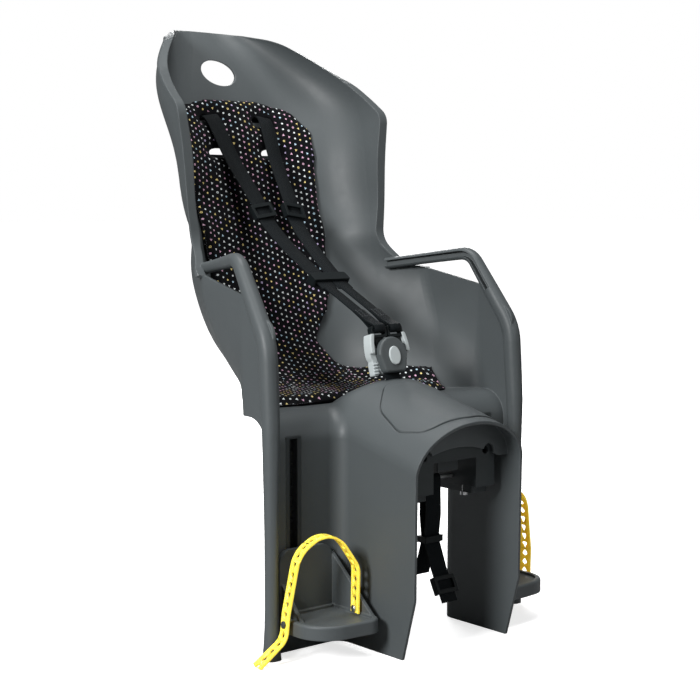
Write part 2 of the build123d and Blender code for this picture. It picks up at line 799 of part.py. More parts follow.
def buckle_face():
    """Outline of the buckle seen from the front: round at the top, narrower at the foot."""
    high, foot = BUCKLE_H / 2, BUCKLE_FOOT / 2
    with BuildSketch(buckle) as face:
        with BuildLine():
            CenterArc((0, 0), high, 0, 180)
            FilletPolyline((-high, 0), (-foot, -high), (foot, -high), (high, 0), radius=BUCKLE_R)
        make_face()
    return face.sketch


with BuildPart() as buckle_space:
    with BuildSketch(buckle.offset(BUTTON_PROUD - BUCKLE_HALF / 2 - BUTTON_TRAVEL)):
        with Locations((0, -BUTTON_LOW)):
            Ellipse(BUTTON_W / 2 + FIT, BUTTON_H / 2 + FIT)
    extrude(amount=2 * BUCKLE_HALF)
    with BuildSketch(buckle.offset(-BLADE_T / 2 - FIT)):
        with Locations((KEEPER_X, BUCKLE_H / 2), (-KEEPER_X, BUCKLE_H / 2)):
            Rectangle(BLADE_W + 2 * FIT, 2 * BLADE_L + 2 * FIT)
    extrude(amount=BLADE_T + 2 * FIT)

buckle_axis = Axis(buckle.origin, buckle.z_dir)
cover = buckle_face()
with BuildPart() as buckle_front:
    extrude(cover, amount=BUCKLE_HALF)
    fillet(buckle_front.edges().group_by(buckle_axis)[-1], BUCKLE_SOFT)
    add(buckle_space.part, mode=Mode.SUBTRACT)
finish(buckle_front, "buckle_front")

with BuildPart() as buckle_rear:
    extrude(cover, amount=-BUCKLE_HALF)
    with BuildSketch(buckle.offset(-BUCKLE_HALF)):
        with Locations((0, SHOULDER_UP)):
            RectangleRounded(SHOULDER_W, SHOULDER_H, BUCKLE_R)
    extrude(amount=BUCKLE_HALF)
    with BuildSketch(buckle.offset(-BUCKLE_HALF)):
        with Locations((-EAR_X, EAR_UP), (EAR_X, EAR_UP)):
            RectangleRounded(EAR_W, EAR_H, EAR_W / 3)
    extrude(amount=BUCKLE_HALF + EAR_FRONT)
    with BuildSketch(buckle.offset(-BUCKLE_HALF)):
        with Locations((TAB_X, TAB_UP)):
            RectangleRounded(TAB_W, TAB_H, TAB_W / 4)
        with Locations((TAB_X / 2, TAB_UP)):
            Rectangle(-TAB_X, TAB_H / 2)
    extrude(amount=BUCKLE_HALF - FIT)
    with BuildSketch(buckle.offset(-FIT)):
        with Locations((TAB_X, TAB_UP)):
            with GridLocations(0, TAB_PITCH, 1, TAB_RIBS):
                Rectangle(TAB_W, TAB_PITCH / 2)
    extrude(amount=TAB_PITCH / 2)
    add(buckle_space.part, mode=Mode.SUBTRACT)
finish(buckle_rear, "buckle_rear")

with BuildPart() as buckle_button:
    with BuildSketch(buckle.offset(BUTTON_PROUD)):
        with Locations((0, -BUTTON_LOW)):
            Ellipse(BUTTON_W / 2, BUTTON_H / 2)
    extrude(amount=BUCKLE_HALF)
    fillet(buckle_button.edges().group_by(buckle_axis)[-1], BUTTON_PROUD / 2)
finish(buckle_button, "buckle_button")

with BuildPart() as crotch_strap:
    with BuildSketch(buckle.offset(-WEB_T / 2)):
        with Locations((0, -BUCKLE_H / 2)):
            Rectangle(WEB_W, CROTCH_L, align=(Align.CENTER, Align.MAX))
    extrude(amount=WEB_T)
finish(crotch_strap, "crotch_strap")

with BuildPart() as crotch_bar:
    with BuildSketch(Plane.YZ.offset(-CROTCH_BAR_L / 2)):
        low = buckle.from_local_coords((0, -BUCKLE_H / 2 - CROTCH_L - STRAP_BAR_R, 0))
        with Locations((low.Y, low.Z)):
            Circle(STRAP_BAR_R)
    extrude(amount=CROTCH_BAR_L)
finish(crotch_bar, "crotch_bar")


# Bow adapter under the hump
screw_spots = [(x, y) for x in (-CLAMP_SCREW_X, CLAMP_SCREW_X) for y in BOSS_YS]
with BuildPart() as adapter_housing:
    with BuildSketch(Plane.XZ):
        with Locations((0, ADAPTER_TOP)):
            Rectangle(2 * ADAPTER_HALF, ADAPTER_TOP - ADAPTER_LOW, align=(Align.CENTER, Align.MAX))
        with Locations((0, ADAPTER_TOP - BRIDGE_T)):
            Rectangle(2 * ADAPTER_INNER, FAR, align=(Align.CENTER, Align.MAX), mode=Mode.SUBTRACT)
    extrude(amount=-ADAPTER_LENGTH)
    fillet(adapter_housing.edges().filter_by(Axis.Y).filter_by(lambda e: e.center().Z > 0), ADAPTER_R)
    with BuildSketch(Plane.XZ):
        with Locations((-SOCKET_SPACING / 2, 0), (SOCKET_SPACING / 2, 0)):
            Circle(SOCKET_R)
    extrude(amount=-SOCKET_DEPTH, mode=Mode.SUBTRACT)
    with BuildSketch(Plane.XY.offset(ADAPTER_LOW)):
        with Locations(*screw_spots):
            Circle(CLAMP_SCREW_R + FIT / 3)
    extrude(amount=SCREW_L, mode=Mode.SUBTRACT)
    with BuildSketch(Plane.XY.offset(ADAPTER_TOP)):
        with Locations(*boss_spots()):
            Circle(SCREW_R + FIT / 3)
    extrude(amount=-BRIDGE_T, mode=Mode.SUBTRACT)
finish(adapter_housing, "adapter_housing")


def clamp_plate():
    """Plate that closes one socket block from below."""
    width = ADAPTER_HALF - ADAPTER_INNER - 2 * ADAPTER_R / 3
    with BuildPart() as plate:
        with BuildSketch(Plane.XY.offset(ADAPTER_LOW)):
            with Locations(((ADAPTER_HALF + ADAPTER_INNER) / 2, ADAPTER_LENGTH / 2)):
                RectangleRounded(width, ADAPTER_LENGTH - 2 * CLAMP_T, CHEEK)
            with Locations(*screw_spots):
                Circle(CLAMP_SCREW_R + FIT / 3, mode=Mode.SUBTRACT)
        extrude(amount=-CLAMP_T)
    return plate.part


paired(clamp_plate, "clamp_plate")

with BuildPart() as clamp_screws:
    with BuildSketch(Plane.XY.offset(ADAPTER_LOW - CLAMP_T)):
        with Locations(*screw_spots):
            Circle(CLAMP_SCREW_R)
    extrude(amount=SCREW_L)
    with BuildSketch(Plane.XY.offset(ADAPTER_LOW - CLAMP_T)):
        with Locations(*screw_spots):
            Circle(CLAMP_HEAD_R)
    extrude(amount=-HEAD_T)
finish(clamp_screws, "clamp_screws")

with BuildPart() as seat_screws:
    with BuildSketch(Plane.XY.offset(ADAPTER_TOP - BRIDGE_T)):
        with Locations(*boss_spots()):
            Circle(SCREW_R)
    extrude(amount=SCREW_L)
    with BuildSketch(Plane.XY.offset(ADAPTER_TOP - BRIDGE_T)):
        with Locations(*boss_spots()):
            Circle(HEAD_R)
    extrude(amount=-HEAD_T)
finish(seat_screws, "seat_screws")

with BuildPart() as bridge_plate:
    with BuildSketch(Plane.XZ.offset(-PLATE_Y)):
        with Locations((0, ADAPTER_TOP - BRIDGE_T)):
            Rectangle(PLATE_W, PLATE_H, align=(Align.CENTER, Align.MAX))
    extrude(amount=-WEB_T)
finish(bridge_plate, "bridge_plate")

# Safety strap, doubled over a bar between the socket blocks
with BuildPart() as strap_bar:
    with BuildSketch(Plane.YZ.offset(-ADAPTER_INNER)):
        with Locations((STRAP_BAR_Y, STRAP_BAR_Z)):
            Circle(STRAP_BAR_R)
    extrude(amount=2 * ADAPTER_INNER)
finish(strap_bar, "strap_bar")

loop_r = STRAP_BAR_R + FIT + WEB_T / 2
front_leg = [(STRAP_BAR_Y + y, STRAP_BAR_Z + z) for y, z in ((-loop_r, 0.0), *SAFETY_FRONT)]
rear_leg = [(STRAP_BAR_Y + y, STRAP_BAR_Z + z) for y, z in ((loop_r, 0.0), *SAFETY_REAR)]
with BuildPart() as safety_strap:
    with BuildSketch(Plane.YZ.offset(-SAFETY_W / 2)):
        with BuildLine():
            FilletPolyline(*front_leg, radius=SAFETY_R)
            ThreePointArc(front_leg[0], (STRAP_BAR_Y, STRAP_BAR_Z + loop_r), rear_leg[0])
            FilletPolyline(*rear_leg, radius=SAFETY_R)
        trace(line_width=WEB_T)
    extrude(amount=SAFETY_W)
finish(safety_strap, "safety_strap")

with BuildPart() as safety_keeper:
    (front_y, waist_z), (rear_y, _) = front_leg[2], rear_leg[2]
    with BuildSketch(Plane.XY.offset(waist_z - WAIST_L / 2)):
        with Locations((0, (front_y + rear_y) / 2)):
            inside = (SAFETY_W + 2 * FIT, rear_y - front_y + WAIST_GAP)
            RectangleRounded(inside[0] + CHEEK, inside[1] + CHEEK, CHEEK / 4)
            Rectangle(*inside, mode=Mode.SUBTRACT)
    extrude(amount=WAIST_L)
finish(safety_keeper, "safety_keeper")

end, before = Vector(0, *front_leg[-1]), Vector(0, *front_leg[-2])
run = (before - end).normalized()
slide = slider(tilted(end + run * SLIDER_L, run), SAFETY_W)
with BuildPart() as safety_slider:
    add(slide)
finish(safety_slider, "safety_slider")


# Footrest racks in the leg panels
def rack():
    """Toothed channel let into the leg panel from behind, with lips that hold the runner."""
    half, mouth = RACK_W / 2 - FIT / 2, RACK_MOUTH / 2
    back = PANEL_Y + RACK_DEPTH
    teeth = int((RACK_TOP - RACK_LOW - 2 * TOOTH_PITCH) / TOOTH_PITCH)
    with BuildPart() as channel:
        with BuildSketch(Plane.XY.offset(RACK_LOW + FIT / 2)):
            with Locations((RACK_X, PANEL_Y)):
                Rectangle(2 * half, RACK_DEPTH, align=(Align.CENTER, Align.MIN))
        extrude(amount=RACK_TOP - RACK_LOW - FIT)
        with BuildSketch(Plane.XY.offset(RACK_LOW + FIT / 2)):
            with Locations((RACK_X, PANEL_Y + WALL)):
                Rectangle(RACK_W + 2 * RACK_FLANGE, RACK_WALL, align=(Align.CENTER, Align.MIN))
        extrude(amount=FLOOR_Z - KNEE_R - RACK_LOW - FIT)
        with BuildSketch(Plane.XY.offset(RACK_LOW + RACK_WALL)):
            with Locations((RACK_X, PANEL_Y + RACK_DEPTH / 2)):
                Rectangle(2 * (half - RACK_WALL), RACK_DEPTH - 2 * RACK_WALL)
            with Locations((RACK_X, PANEL_Y)):
                Rectangle(2 * mouth, 2 * RACK_WALL)
        extrude(amount=RACK_TOP - RACK_LOW - 2 * RACK_WALL, mode=Mode.SUBTRACT)
        with BuildSketch(Plane.XZ.offset(-back + RACK_WALL / 2)):
            with Locations((RACK_X, (RACK_LOW + RACK_TOP) / 2)):
                with GridLocations(0, TOOTH_PITCH, 1, teeth):
                    Rectangle(2 * half - RACK_WALL, TOOTH_H)
        extrude(amount=TOOTH_D)
    return channel.part


def rack_clip():
    """Clip behind the panel that hooks over the outer flange of the rack."""
    flange = RACK_X + RACK_W / 2 + RACK_FLANGE
    with BuildPart() as clip:
        with BuildSketch(Plane.XY.offset(CLIP_Z - CLIP_H / 2)):
            with Locations((flange + FIT, PANEL_Y + WALL)):
                Rectangle(CLIP_W, CLIP_D, align=(Align.MIN, Align.MIN))
            with Locations((flange + FIT, PANEL_Y + WALL + RACK_WALL)):
                Rectangle(RACK_FLANGE, CLIP_D - RACK_WALL, align=(Align.MAX, Align.MIN))
        extrude(amount=CLIP_H)
        fillet(clip.edges().filter_by(Axis.Z).sort_by(Axis.X)[-1], CLIP_D / 3)
    return clip.part


paired(rack, "rack")
paired(rack_clip, "rack_clip")


# Footrests with their straps
band = Plane(
    origin=(*BAND_START, 0),
    x_dir=(cos(radians(BAND_TURN)), sin(radians(BAND_TURN)), 0),
    z_dir=(sin(radians(BAND_TURN)), -cos(radians(BAND_TURN)), 0),
)


def pan_outline(low, shrink):
    """Outline of the footrest's tray at one height, taken in by shrink."""
    with BuildSketch(Plane.XY.offset(low)) as outline:
        with BuildLine():
            FilletPolyline(*PAN_LINE, radius=PAN_RADII, close=True)
        make_face()
        if shrink:
            offset(amount=-shrink)
    return outline.sketch


def footrest(pins):
    """Tray for the foot: a pan with a raised floor, a back plate, gussets and a runner for the rack."""
    gap = PANEL_Y - FIT
    floor = PAN_RIM - PAN_SUNK
    whole, under = pan_outline(PAN_LOW, 0), pan_outline(PAN_LOW, PAN_WALL)
    sunk = pan_outline(floor, PAN_WALL + PAN_SOFT)
    with BuildPart() as tray:
        extrude(whole, amount=PAN_RIM - PAN_LOW)
        fillet(tray.faces().sort_by(Axis.Z)[-1].edges(), PAN_SOFT)
        extrude(sunk, amount=PAN_SUNK, mode=Mode.SUBTRACT)
        extrude(under, amount=floor - PAN_FLOOR - PAN_LOW, mode=Mode.SUBTRACT)
        with BuildSketch(Plane.XZ.offset(-gap)):
            with Locations((sum(CARRIAGE_X) / 2, PAN_LOW)):
                wide = CARRIAGE_X[1] - CARRIAGE_X[0]
                Rectangle(wide, CARRIAGE_TOP - PAN_LOW, align=(Align.CENTER, Align.MIN))
        extrude(amount=CARRIAGE_T)
        fillet(tray.edges().filter_by(Axis.Y).group_by(Axis.Z)[-1], CARRIAGE_R)
        for x, top, front in GUSSETS:
            rear, low = gap - CARRIAGE_T / 2, floor - PAN_FLOOR / 2
            with BuildSketch(Plane.YZ.offset(x)):
                with BuildLine():
                    Polyline((rear, low), (front, low), (rear, top), close=True)
                make_face()
            extrude(amount=GUSSET_T)
        with BuildSketch(Plane.XY.offset(RUNNER_LOW)):
            with Locations((RACK_X, gap)):
                Rectangle(RACK_MOUTH - 2 * FIT, 2 * RACK_WALL, align=(Align.CENTER, Align.MIN))
            with Locations((RACK_X, PANEL_Y + RACK_WALL + FIT)):
                Rectangle(RACK_W - 2 * RACK_WALL - 3 * FIT, RUNNER_HEAD, align=(Align.CENTER, Align.MIN))
        extrude(amount=RUNNER_TOP - RUNNER_LOW)
        for pin in pins:
            with BuildSketch(pin):
                Circle(STUD_R)
            extrude(amount=-PIN_IN, mode=Mode.SUBTRACT)
    return tray.part


def strap_holes(line):
    """Planes of a foot strap's holes, each facing out through the strap."""
    with BuildLine(band) as path:
        FilletPolyline(*[point[:2] for point in line], radius=[point[2] for point in line[1:-1]])
    length = path.wire().length
    places = []
    for n in range(int((length - RIVET_END) / BAND_PITCH) + 1):
        spot = (n * BAND_PITCH + RIVET_END) / length
        along = path.wire() % spot
        places.append(Plane(origin=path.wire() @ spot, x_dir=along, z_dir=band.z_dir.cross(along)))
    return places


def foot_strap(line, places):
    """Pierced strap from the rivet over the foot to its tail."""
    with BuildPart() as strap:
        with BuildSketch(band.offset(-BAND_W / 2)):
            with BuildLine():
                FilletPolyline(*[point[:2] for point in line], radius=[point[2] for point in line[1:-1]])
            trace(line_width=BAND_T)
        extrude(amount=BAND_W)
        for place in places:
            with BuildSketch(place):
                Circle(BAND_HOLE_R)
                with BuildLine():
                    Polyline((0, BAND_HOLE_R), (BAND_HOLE_TIP, 0), (0, -BAND_HOLE_R), close=True)
                make_face()
            extrude(amount=BAND_T, both=True, mode=Mode.SUBTRACT)
    return strap.part


def strap_pin(place):
    """Pin through a foot strap and the wall of the footrest, headed at the outer end."""
    with BuildPart() as pin:
        with BuildSketch(place):
            Circle(STUD_R)
        extrude(amount=-PIN_IN)
        with BuildSketch(place):
            Circle(STUD_R)
        extrude(amount=BAND_T / 2 + FIT)
        with BuildSketch(place.offset(BAND_T / 2 + FIT)):
            Circle(PIN_HEAD_R)
        extrude(amount=PIN_HEAD_T)
        fillet(pin.edges().group_by(Axis(place.origin, place.z_dir))[-1], PIN_HEAD_T / 2)
    return pin.part


for side, line in (("left", BAND_SHORT), ("right", BAND_LONG)):
    places = strap_holes(line)
    outer_side = [place for place in places if place.origin.X > PAN_LINE[2][0]]
    stud_at = min(outer_side, key=lambda place: abs(place.origin.Z - PAN_LOW - STUD_UP))
    rivet_at = -places[0]
    pieces = {
        "footrest": footrest([stud_at, rivet_at]),
        "foot_strap": foot_strap(line, places),
        "foot_stud": strap_pin(stud_at),
        "foot_rivet": strap_pin(rivet_at),
    }
    for name, piece in pieces.items():
        with BuildPart() as one:
            add(piece)
            if side == "right":
                mirror(about=Plane.YZ, mode=Mode.REPLACE)
        finish(one, f"{name}_{side}")
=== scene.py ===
"""Child bike seat: finishes, soft pieces and stage on the fixed frame."""

import math

import bmesh
import bpy
import numpy as np
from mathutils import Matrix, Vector
from mathutils.bvhtree import BVHTree


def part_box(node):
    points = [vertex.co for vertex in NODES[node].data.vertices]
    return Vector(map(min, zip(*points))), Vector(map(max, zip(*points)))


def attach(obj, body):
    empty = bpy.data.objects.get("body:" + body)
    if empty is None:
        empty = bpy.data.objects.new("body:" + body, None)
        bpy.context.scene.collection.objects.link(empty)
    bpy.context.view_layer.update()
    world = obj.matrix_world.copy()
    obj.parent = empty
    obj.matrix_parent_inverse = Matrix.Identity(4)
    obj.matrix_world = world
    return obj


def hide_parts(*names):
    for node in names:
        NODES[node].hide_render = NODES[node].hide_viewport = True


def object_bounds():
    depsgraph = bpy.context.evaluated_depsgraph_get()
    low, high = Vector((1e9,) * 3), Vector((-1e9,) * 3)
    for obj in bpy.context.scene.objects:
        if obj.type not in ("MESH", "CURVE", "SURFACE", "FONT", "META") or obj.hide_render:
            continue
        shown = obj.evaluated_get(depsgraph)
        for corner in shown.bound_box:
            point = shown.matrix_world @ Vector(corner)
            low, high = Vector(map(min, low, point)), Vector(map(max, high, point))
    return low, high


bl_info = {
    "name": "Child bike seat",
    "version": (1, 0, 0),
    "blender": (4, 5, 0),
    "location": "View3D > Sidebar > Bike seat",
    "description": "Finishes, soft pieces and stage of a child bike seat on its fixed frame",
    "category": "Object",
}

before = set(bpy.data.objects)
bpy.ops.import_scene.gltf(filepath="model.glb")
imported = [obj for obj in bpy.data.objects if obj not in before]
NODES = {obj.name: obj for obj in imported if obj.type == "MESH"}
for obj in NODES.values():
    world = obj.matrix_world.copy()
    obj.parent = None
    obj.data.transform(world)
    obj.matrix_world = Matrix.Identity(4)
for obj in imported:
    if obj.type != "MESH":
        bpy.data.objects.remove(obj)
CAD_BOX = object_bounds()
MIDDLE = (CAD_BOX[0] + CAD_BOX[1]) / 2
# Sign of x on each side
SIDES = {"left": 1.0, "right": -1.0}
WHITE = (1.0, 1.0, 1.0, 1.0)


# Settings

def colour_setting(name, description, *default):
    """A colour for a user to change."""
    return bpy.props.FloatVectorProperty(
        name=name, description=description, subtype="COLOR", size=4, default=(*default, 1.0)
    )


def length_setting(name, description, default):
    """A length for a user to change."""
    return bpy.props.FloatProperty(name=name, description=description, unit="LENGTH", default=default)


def place_setting(name, description, *default):
    """A place in the scene for a user to change."""
    return bpy.props.FloatVectorProperty(
        name=name, description=description, subtype="TRANSLATION", unit="LENGTH", default=default
    )


class PlasticFinish(bpy.types.PropertyGroup):
    """Colours and grain of the moulded plastics."""

    shell: colour_setting("Shell", "Colour of the shell, cover and footrests", 0.066, 0.0755, 0.079)
    fitting: colour_setting("Fittings", "Colour of the harness fittings", 0.0062, 0.0086, 0.0094)
    rack: colour_setting("Racks", "Colour of the racks, studs and bow adapter", 0.034, 0.04, 0.042)
    buckle: colour_setting("Buckle front", "Colour of the buckle's front half", 0.062, 0.071, 0.074)
    pale: colour_setting("Buckle rear", "Colour of its rear half and button", 0.43, 0.47, 0.475)
    grain: length_setting("Grain size", "Size of the moulded grain", 0.0009)


class ClothFinish(bpy.types.PropertyGroup):
    """Cloth of the pad and the webbing."""

    pad: colour_setting("Pad", "Ground colour of the pad's cloth", 0.0018, 0.002, 0.0027)
    spacing: length_setting("Motif spacing", "Distance between the printed motifs", 0.0086)
    webbing: colour_setting("Webbing", "Colour of the webbing", 0.0024, 0.0036, 0.0044)
    web_width: length_setting("Webbing width", "Width of the harness webbing", 0.025)
    web_thick: length_setting("Webbing thickness", "Thickness of the harness webbing", 0.0018)
    lower_width: length_setting("Lower width", "Width between the keeper and the buckle", 0.018)
    swell: length_setting("Pad swell", "Most that the pad's face may swell", 0.0045)
    binding: length_setting("Binding", "Width of the plain binding round the pad", 0.004)
    stitch: length_setting("Stitch length", "Length of one stitch", 0.0026)
    thread: colour_setting("Thread", "Colour of the sewing thread", 0.03, 0.033, 0.036)


class StrapFinish(bpy.types.PropertyGroup):
    """Rubbery straps over the feet."""

    colour: colour_setting("Foot strap", "Colour of the foot straps", 1.0, 0.84, 0.11)


class StageSettings(bpy.types.PropertyGroup):
    """Camera and floor."""

    lens: bpy.props.FloatProperty(
        name="Lens", description="Focal length in millimetres on a 36 mm sensor", default=78.17
    )
    eye: place_setting("Eye", "Place of the camera", -1.2798, -1.3252, 0.303)
    aim: place_setting("Aim", "Point that the camera looks at", 0.0, 0.2, 0.113)
    floor: colour_setting("Floor", "Colour of the floor", 0.86, 0.86, 0.86)


# Shader building

def feed(tree, node, inputs):
    """Set or link a node's inputs by name or number."""
    for name, value in inputs.items():
        if isinstance(value, bpy.types.NodeSocket):
            tree.links.new(value, node.inputs[name])
        else:
            node.inputs[name].default_value = value


def put(tree, kind, inputs=None, **settings):
    """Add a node, set its properties and feed its inputs."""
    made = tree.nodes.new(kind)
    for name, value in settings.items():
        setattr(made, name, value)
    feed(tree, made, inputs or {})
    return made


def out(tree, kind, inputs=None, output=0, **settings):
    """Add a node in the same way; gives one of its outputs."""
    return put(tree, kind, inputs, **settings).outputs[output]


def sums(tree, operation, first, second=0.0, third=0.0, clamp=False):
    """Math node on sockets or numbers; gives its output."""
    values = {0: first, 1: second, 2: third}
    return out(tree, "ShaderNodeMath", values, operation=operation, use_clamp=clamp)


def blended(tree, factor, first, second):
    """Colour mix of two sockets or colours; gives its output."""
    values = {"Factor": factor, 6: first, 7: second}
    return out(tree, "ShaderNodeMix", values, 2, data_type="RGBA")


def ranged(tree, value, low, high, bottom=0.0, top=1.0):
    """A value taken from one range to another; gives its output."""
    values = {"Value": value, 1: low, 2: high, 3: bottom, 4: top}
    return out(tree, "ShaderNodeMapRange", values, "Result")


def noise(tree, where, scale, detail, roughness=0.5):
    """Noise at a place; gives its output."""
    values = {"Vector": where, "Scale": scale, "Detail": detail, "Roughness": roughness}
    return out(tree, "ShaderNodeTexNoise", values, "Fac")


def length(tree, vector):
    """Length of a vector; gives its output."""
    return out(tree, "ShaderNodeVectorMath", {0: vector}, "Value", operation="LENGTH")


def axes(tree, vector):
    """Parts of a vector, by the names of the axes."""
    return put(tree, "ShaderNodeSeparateXYZ", {"Vector": vector}).outputs


def bumped(tree, height, strength, distance, **normal):
    """Normal bent by a height; gives its output."""
    values = {"Height": height, "Strength": strength, "Distance": distance, **normal}
    return out(tree, "ShaderNodeBump", values)


def shaded(colour, factor):
    """A colour made darker or lighter."""
    return (*(part * factor for part in colour[:3]), 1.0)


def node_group(name, size, default, outputs):
    """Empty shader group over a place and a size; gives the tree and its two end nodes."""
    tree = bpy.data.node_groups.new(name, "ShaderNodeTree")
    tree.interface.new_socket("Vector", in_out="INPUT", socket_type="NodeSocketVector")
    socket = tree.interface.new_socket(size, in_out="INPUT", socket_type="NodeSocketFloat")
    socket.default_value = default
    for label in outputs:
        kind = "NodeSocketColor" if label == "Color" else "NodeSocketFloat"
        tree.interface.new_socket(label, in_out="OUTPUT", socket_type=kind)
    return tree, tree.nodes.new("NodeGroupInput"), tree.nodes.new("NodeGroupOutput")


def grain_group():
    """Fine moulded grain, a slow change of tone and a change of polish."""
    tree, start, end = node_group("moulded_grain", "Size", 0.001, ("Height", "Tone", "Polish"))
    where = start.outputs["Vector"]
    scale = sums(tree, "DIVIDE", 1.0, start.outputs["Size"])
    values = {"Vector": where, "Scale": scale}
    cells = out(tree, "ShaderNodeTexVoronoi", values, "Distance", feature="SMOOTH_F1")
    height = sums(tree, "MULTIPLY_ADD", cells, 0.6, noise(tree, where, scale, 3.0))
    slow = noise(tree, where, 9.0, 3.0, 0.6)
    polish_patches = noise(tree, where, 46.0, 5.0, 0.7)
    feed(tree, end, {"Height": height, "Tone": slow, "Polish": polish_patches})
    return tree


def weave_group():
    """Plain weave over a flat map, with thread height and a little fuzz."""
    tree, start, end = node_group("plain_weave", "Pitch", 0.001, ("Height", "Shade"))
    where = start.outputs["Vector"]
    turn = sums(tree, "DIVIDE", 2.0 * math.pi, start.outputs["Pitch"])
    parts = axes(tree, where)
    warp = sums(tree, "SINE", sums(tree, "MULTIPLY", parts["X"], turn))
    weft = sums(tree, "SINE", sums(tree, "MULTIPLY", parts["Y"], turn))
    crossing = sums(tree, "MULTIPLY", warp, weft)
    height = sums(tree, "MULTIPLY_ADD", noise(tree, where, 2600.0, 2.0), 0.6, crossing)
    shade = sums(tree, "MULTIPLY_ADD", crossing, 0.25, 0.5)
    feed(tree, end, {"Height": height, "Shade": shade})
    return tree


# Where each colour of the print begins, among the motifs' chances
PRINT_COLOURS = (
    (0.0, (0.82, 0.87, 0.88, 1.0)),
    (0.36, (0.76, 0.46, 0.62, 1.0)),
    (0.62, (0.84, 0.68, 0.27, 1.0)),
    (0.82, (0.5, 0.68, 0.8, 1.0)),
    (0.94, (0.6, 0.5, 0.76, 1.0)),
)


def motif_group():
    """Scattered dots, rings and triangles of a few colours in staggered rows."""
    # In spacings: radius of a dot and a ring, half a ring's line, a triangle's inner radius, scatter
    dot_size, ring_size, ring_line, triangle_size, scatter = 0.155, 0.13, 0.05, 0.125, 0.16
    dots_below, triangles_above = 0.48, 0.62
    row_turn = 0.42
    tree, start, end = node_group("scattered_motifs", "Spacing", 0.01, ("Mask", "Color"))
    size = sums(tree, "DIVIDE", 1.0, start.outputs["Spacing"])
    values = {0: start.outputs["Vector"], "Scale": size}
    spread = out(tree, "ShaderNodeVectorMath", values, operation="SCALE")
    values = {"Vector": spread, "Rotation": (0.0, 0.0, row_turn)}
    parts = axes(tree, out(tree, "ShaderNodeMapping", values))
    row = sums(tree, "FLOOR", parts["Y"])
    stagger = sums(tree, "MULTIPLY", sums(tree, "MODULO", row, 3.0), 1.0 / 3.0)
    along = sums(tree, "ADD", parts["X"], stagger)
    column = sums(tree, "FLOOR", along)
    values = {"Vector": out(tree, "ShaderNodeCombineXYZ", {"X": column, "Y": row})}
    chance = put(tree, "ShaderNodeTexWhiteNoise", values, noise_dimensions="3D").outputs
    draws = axes(tree, chance["Color"])
    spot = {}
    for axis, where, first in (("X", along, column), ("Y", parts["Y"], row)):
        away = sums(tree, "SUBTRACT", sums(tree, "SUBTRACT", where, first), 0.5)
        draw = sums(tree, "SUBTRACT", draws[axis], 0.5)
        spot[axis] = sums(tree, "MULTIPLY_ADD", draw, scatter, away)
    place = out(tree, "ShaderNodeCombineXYZ", spot)
    away = length(tree, place)
    dot = sums(tree, "LESS_THAN", away, dot_size)
    off_ring = sums(tree, "ABSOLUTE", sums(tree, "SUBTRACT", away, ring_size))
    ring = sums(tree, "LESS_THAN", off_ring, ring_line)
    values = {"Vector": place, "Angle": sums(tree, "MULTIPLY", draws["X"], 2.0 * math.pi)}
    tip = axes(tree, out(tree, "ShaderNodeVectorRotate", values, rotation_type="Z_AXIS"))
    slant = sums(tree, "MULTIPLY", sums(tree, "ABSOLUTE", tip["X"]), math.cos(math.pi / 6.0))
    edge = sums(tree, "MULTIPLY_ADD", tip["Y"], 0.5, slant)
    base = sums(tree, "MULTIPLY", tip["Y"], -1.0)
    triangle = sums(tree, "LESS_THAN", sums(tree, "MAXIMUM", edge, base), triangle_size)
    is_dot = sums(tree, "LESS_THAN", draws["Z"], dots_below)
    is_triangle = sums(tree, "GREATER_THAN", draws["Z"], triangles_above)
    is_ring = sums(tree, "SUBTRACT", 1.0, sums(tree, "ADD", is_dot, is_triangle))
    mask = sums(tree, "MULTIPLY", dot, is_dot)
    mask = sums(tree, "MULTIPLY_ADD", triangle, is_triangle, mask)
    mask = sums(tree, "MULTIPLY_ADD", ring, is_ring, mask, clamp=True)
    ramp = put(tree, "ShaderNodeValToRGB", {"Fac": chance["Value"]})
    ramp.color_ramp.interpolation = "CONSTANT"
    stops = ramp.color_ramp.elements
    stops[0].color = PRINT_COLOURS[0][1]
    stops[1].position, stops[1].color = PRINT_COLOURS[1]
    for position, colour in PRINT_COLOURS[2:]:
        stops.new(position).color = colour
    feed(tree, end, {"Mask": mask, "Color": ramp.outputs["Color"]})
    return tree


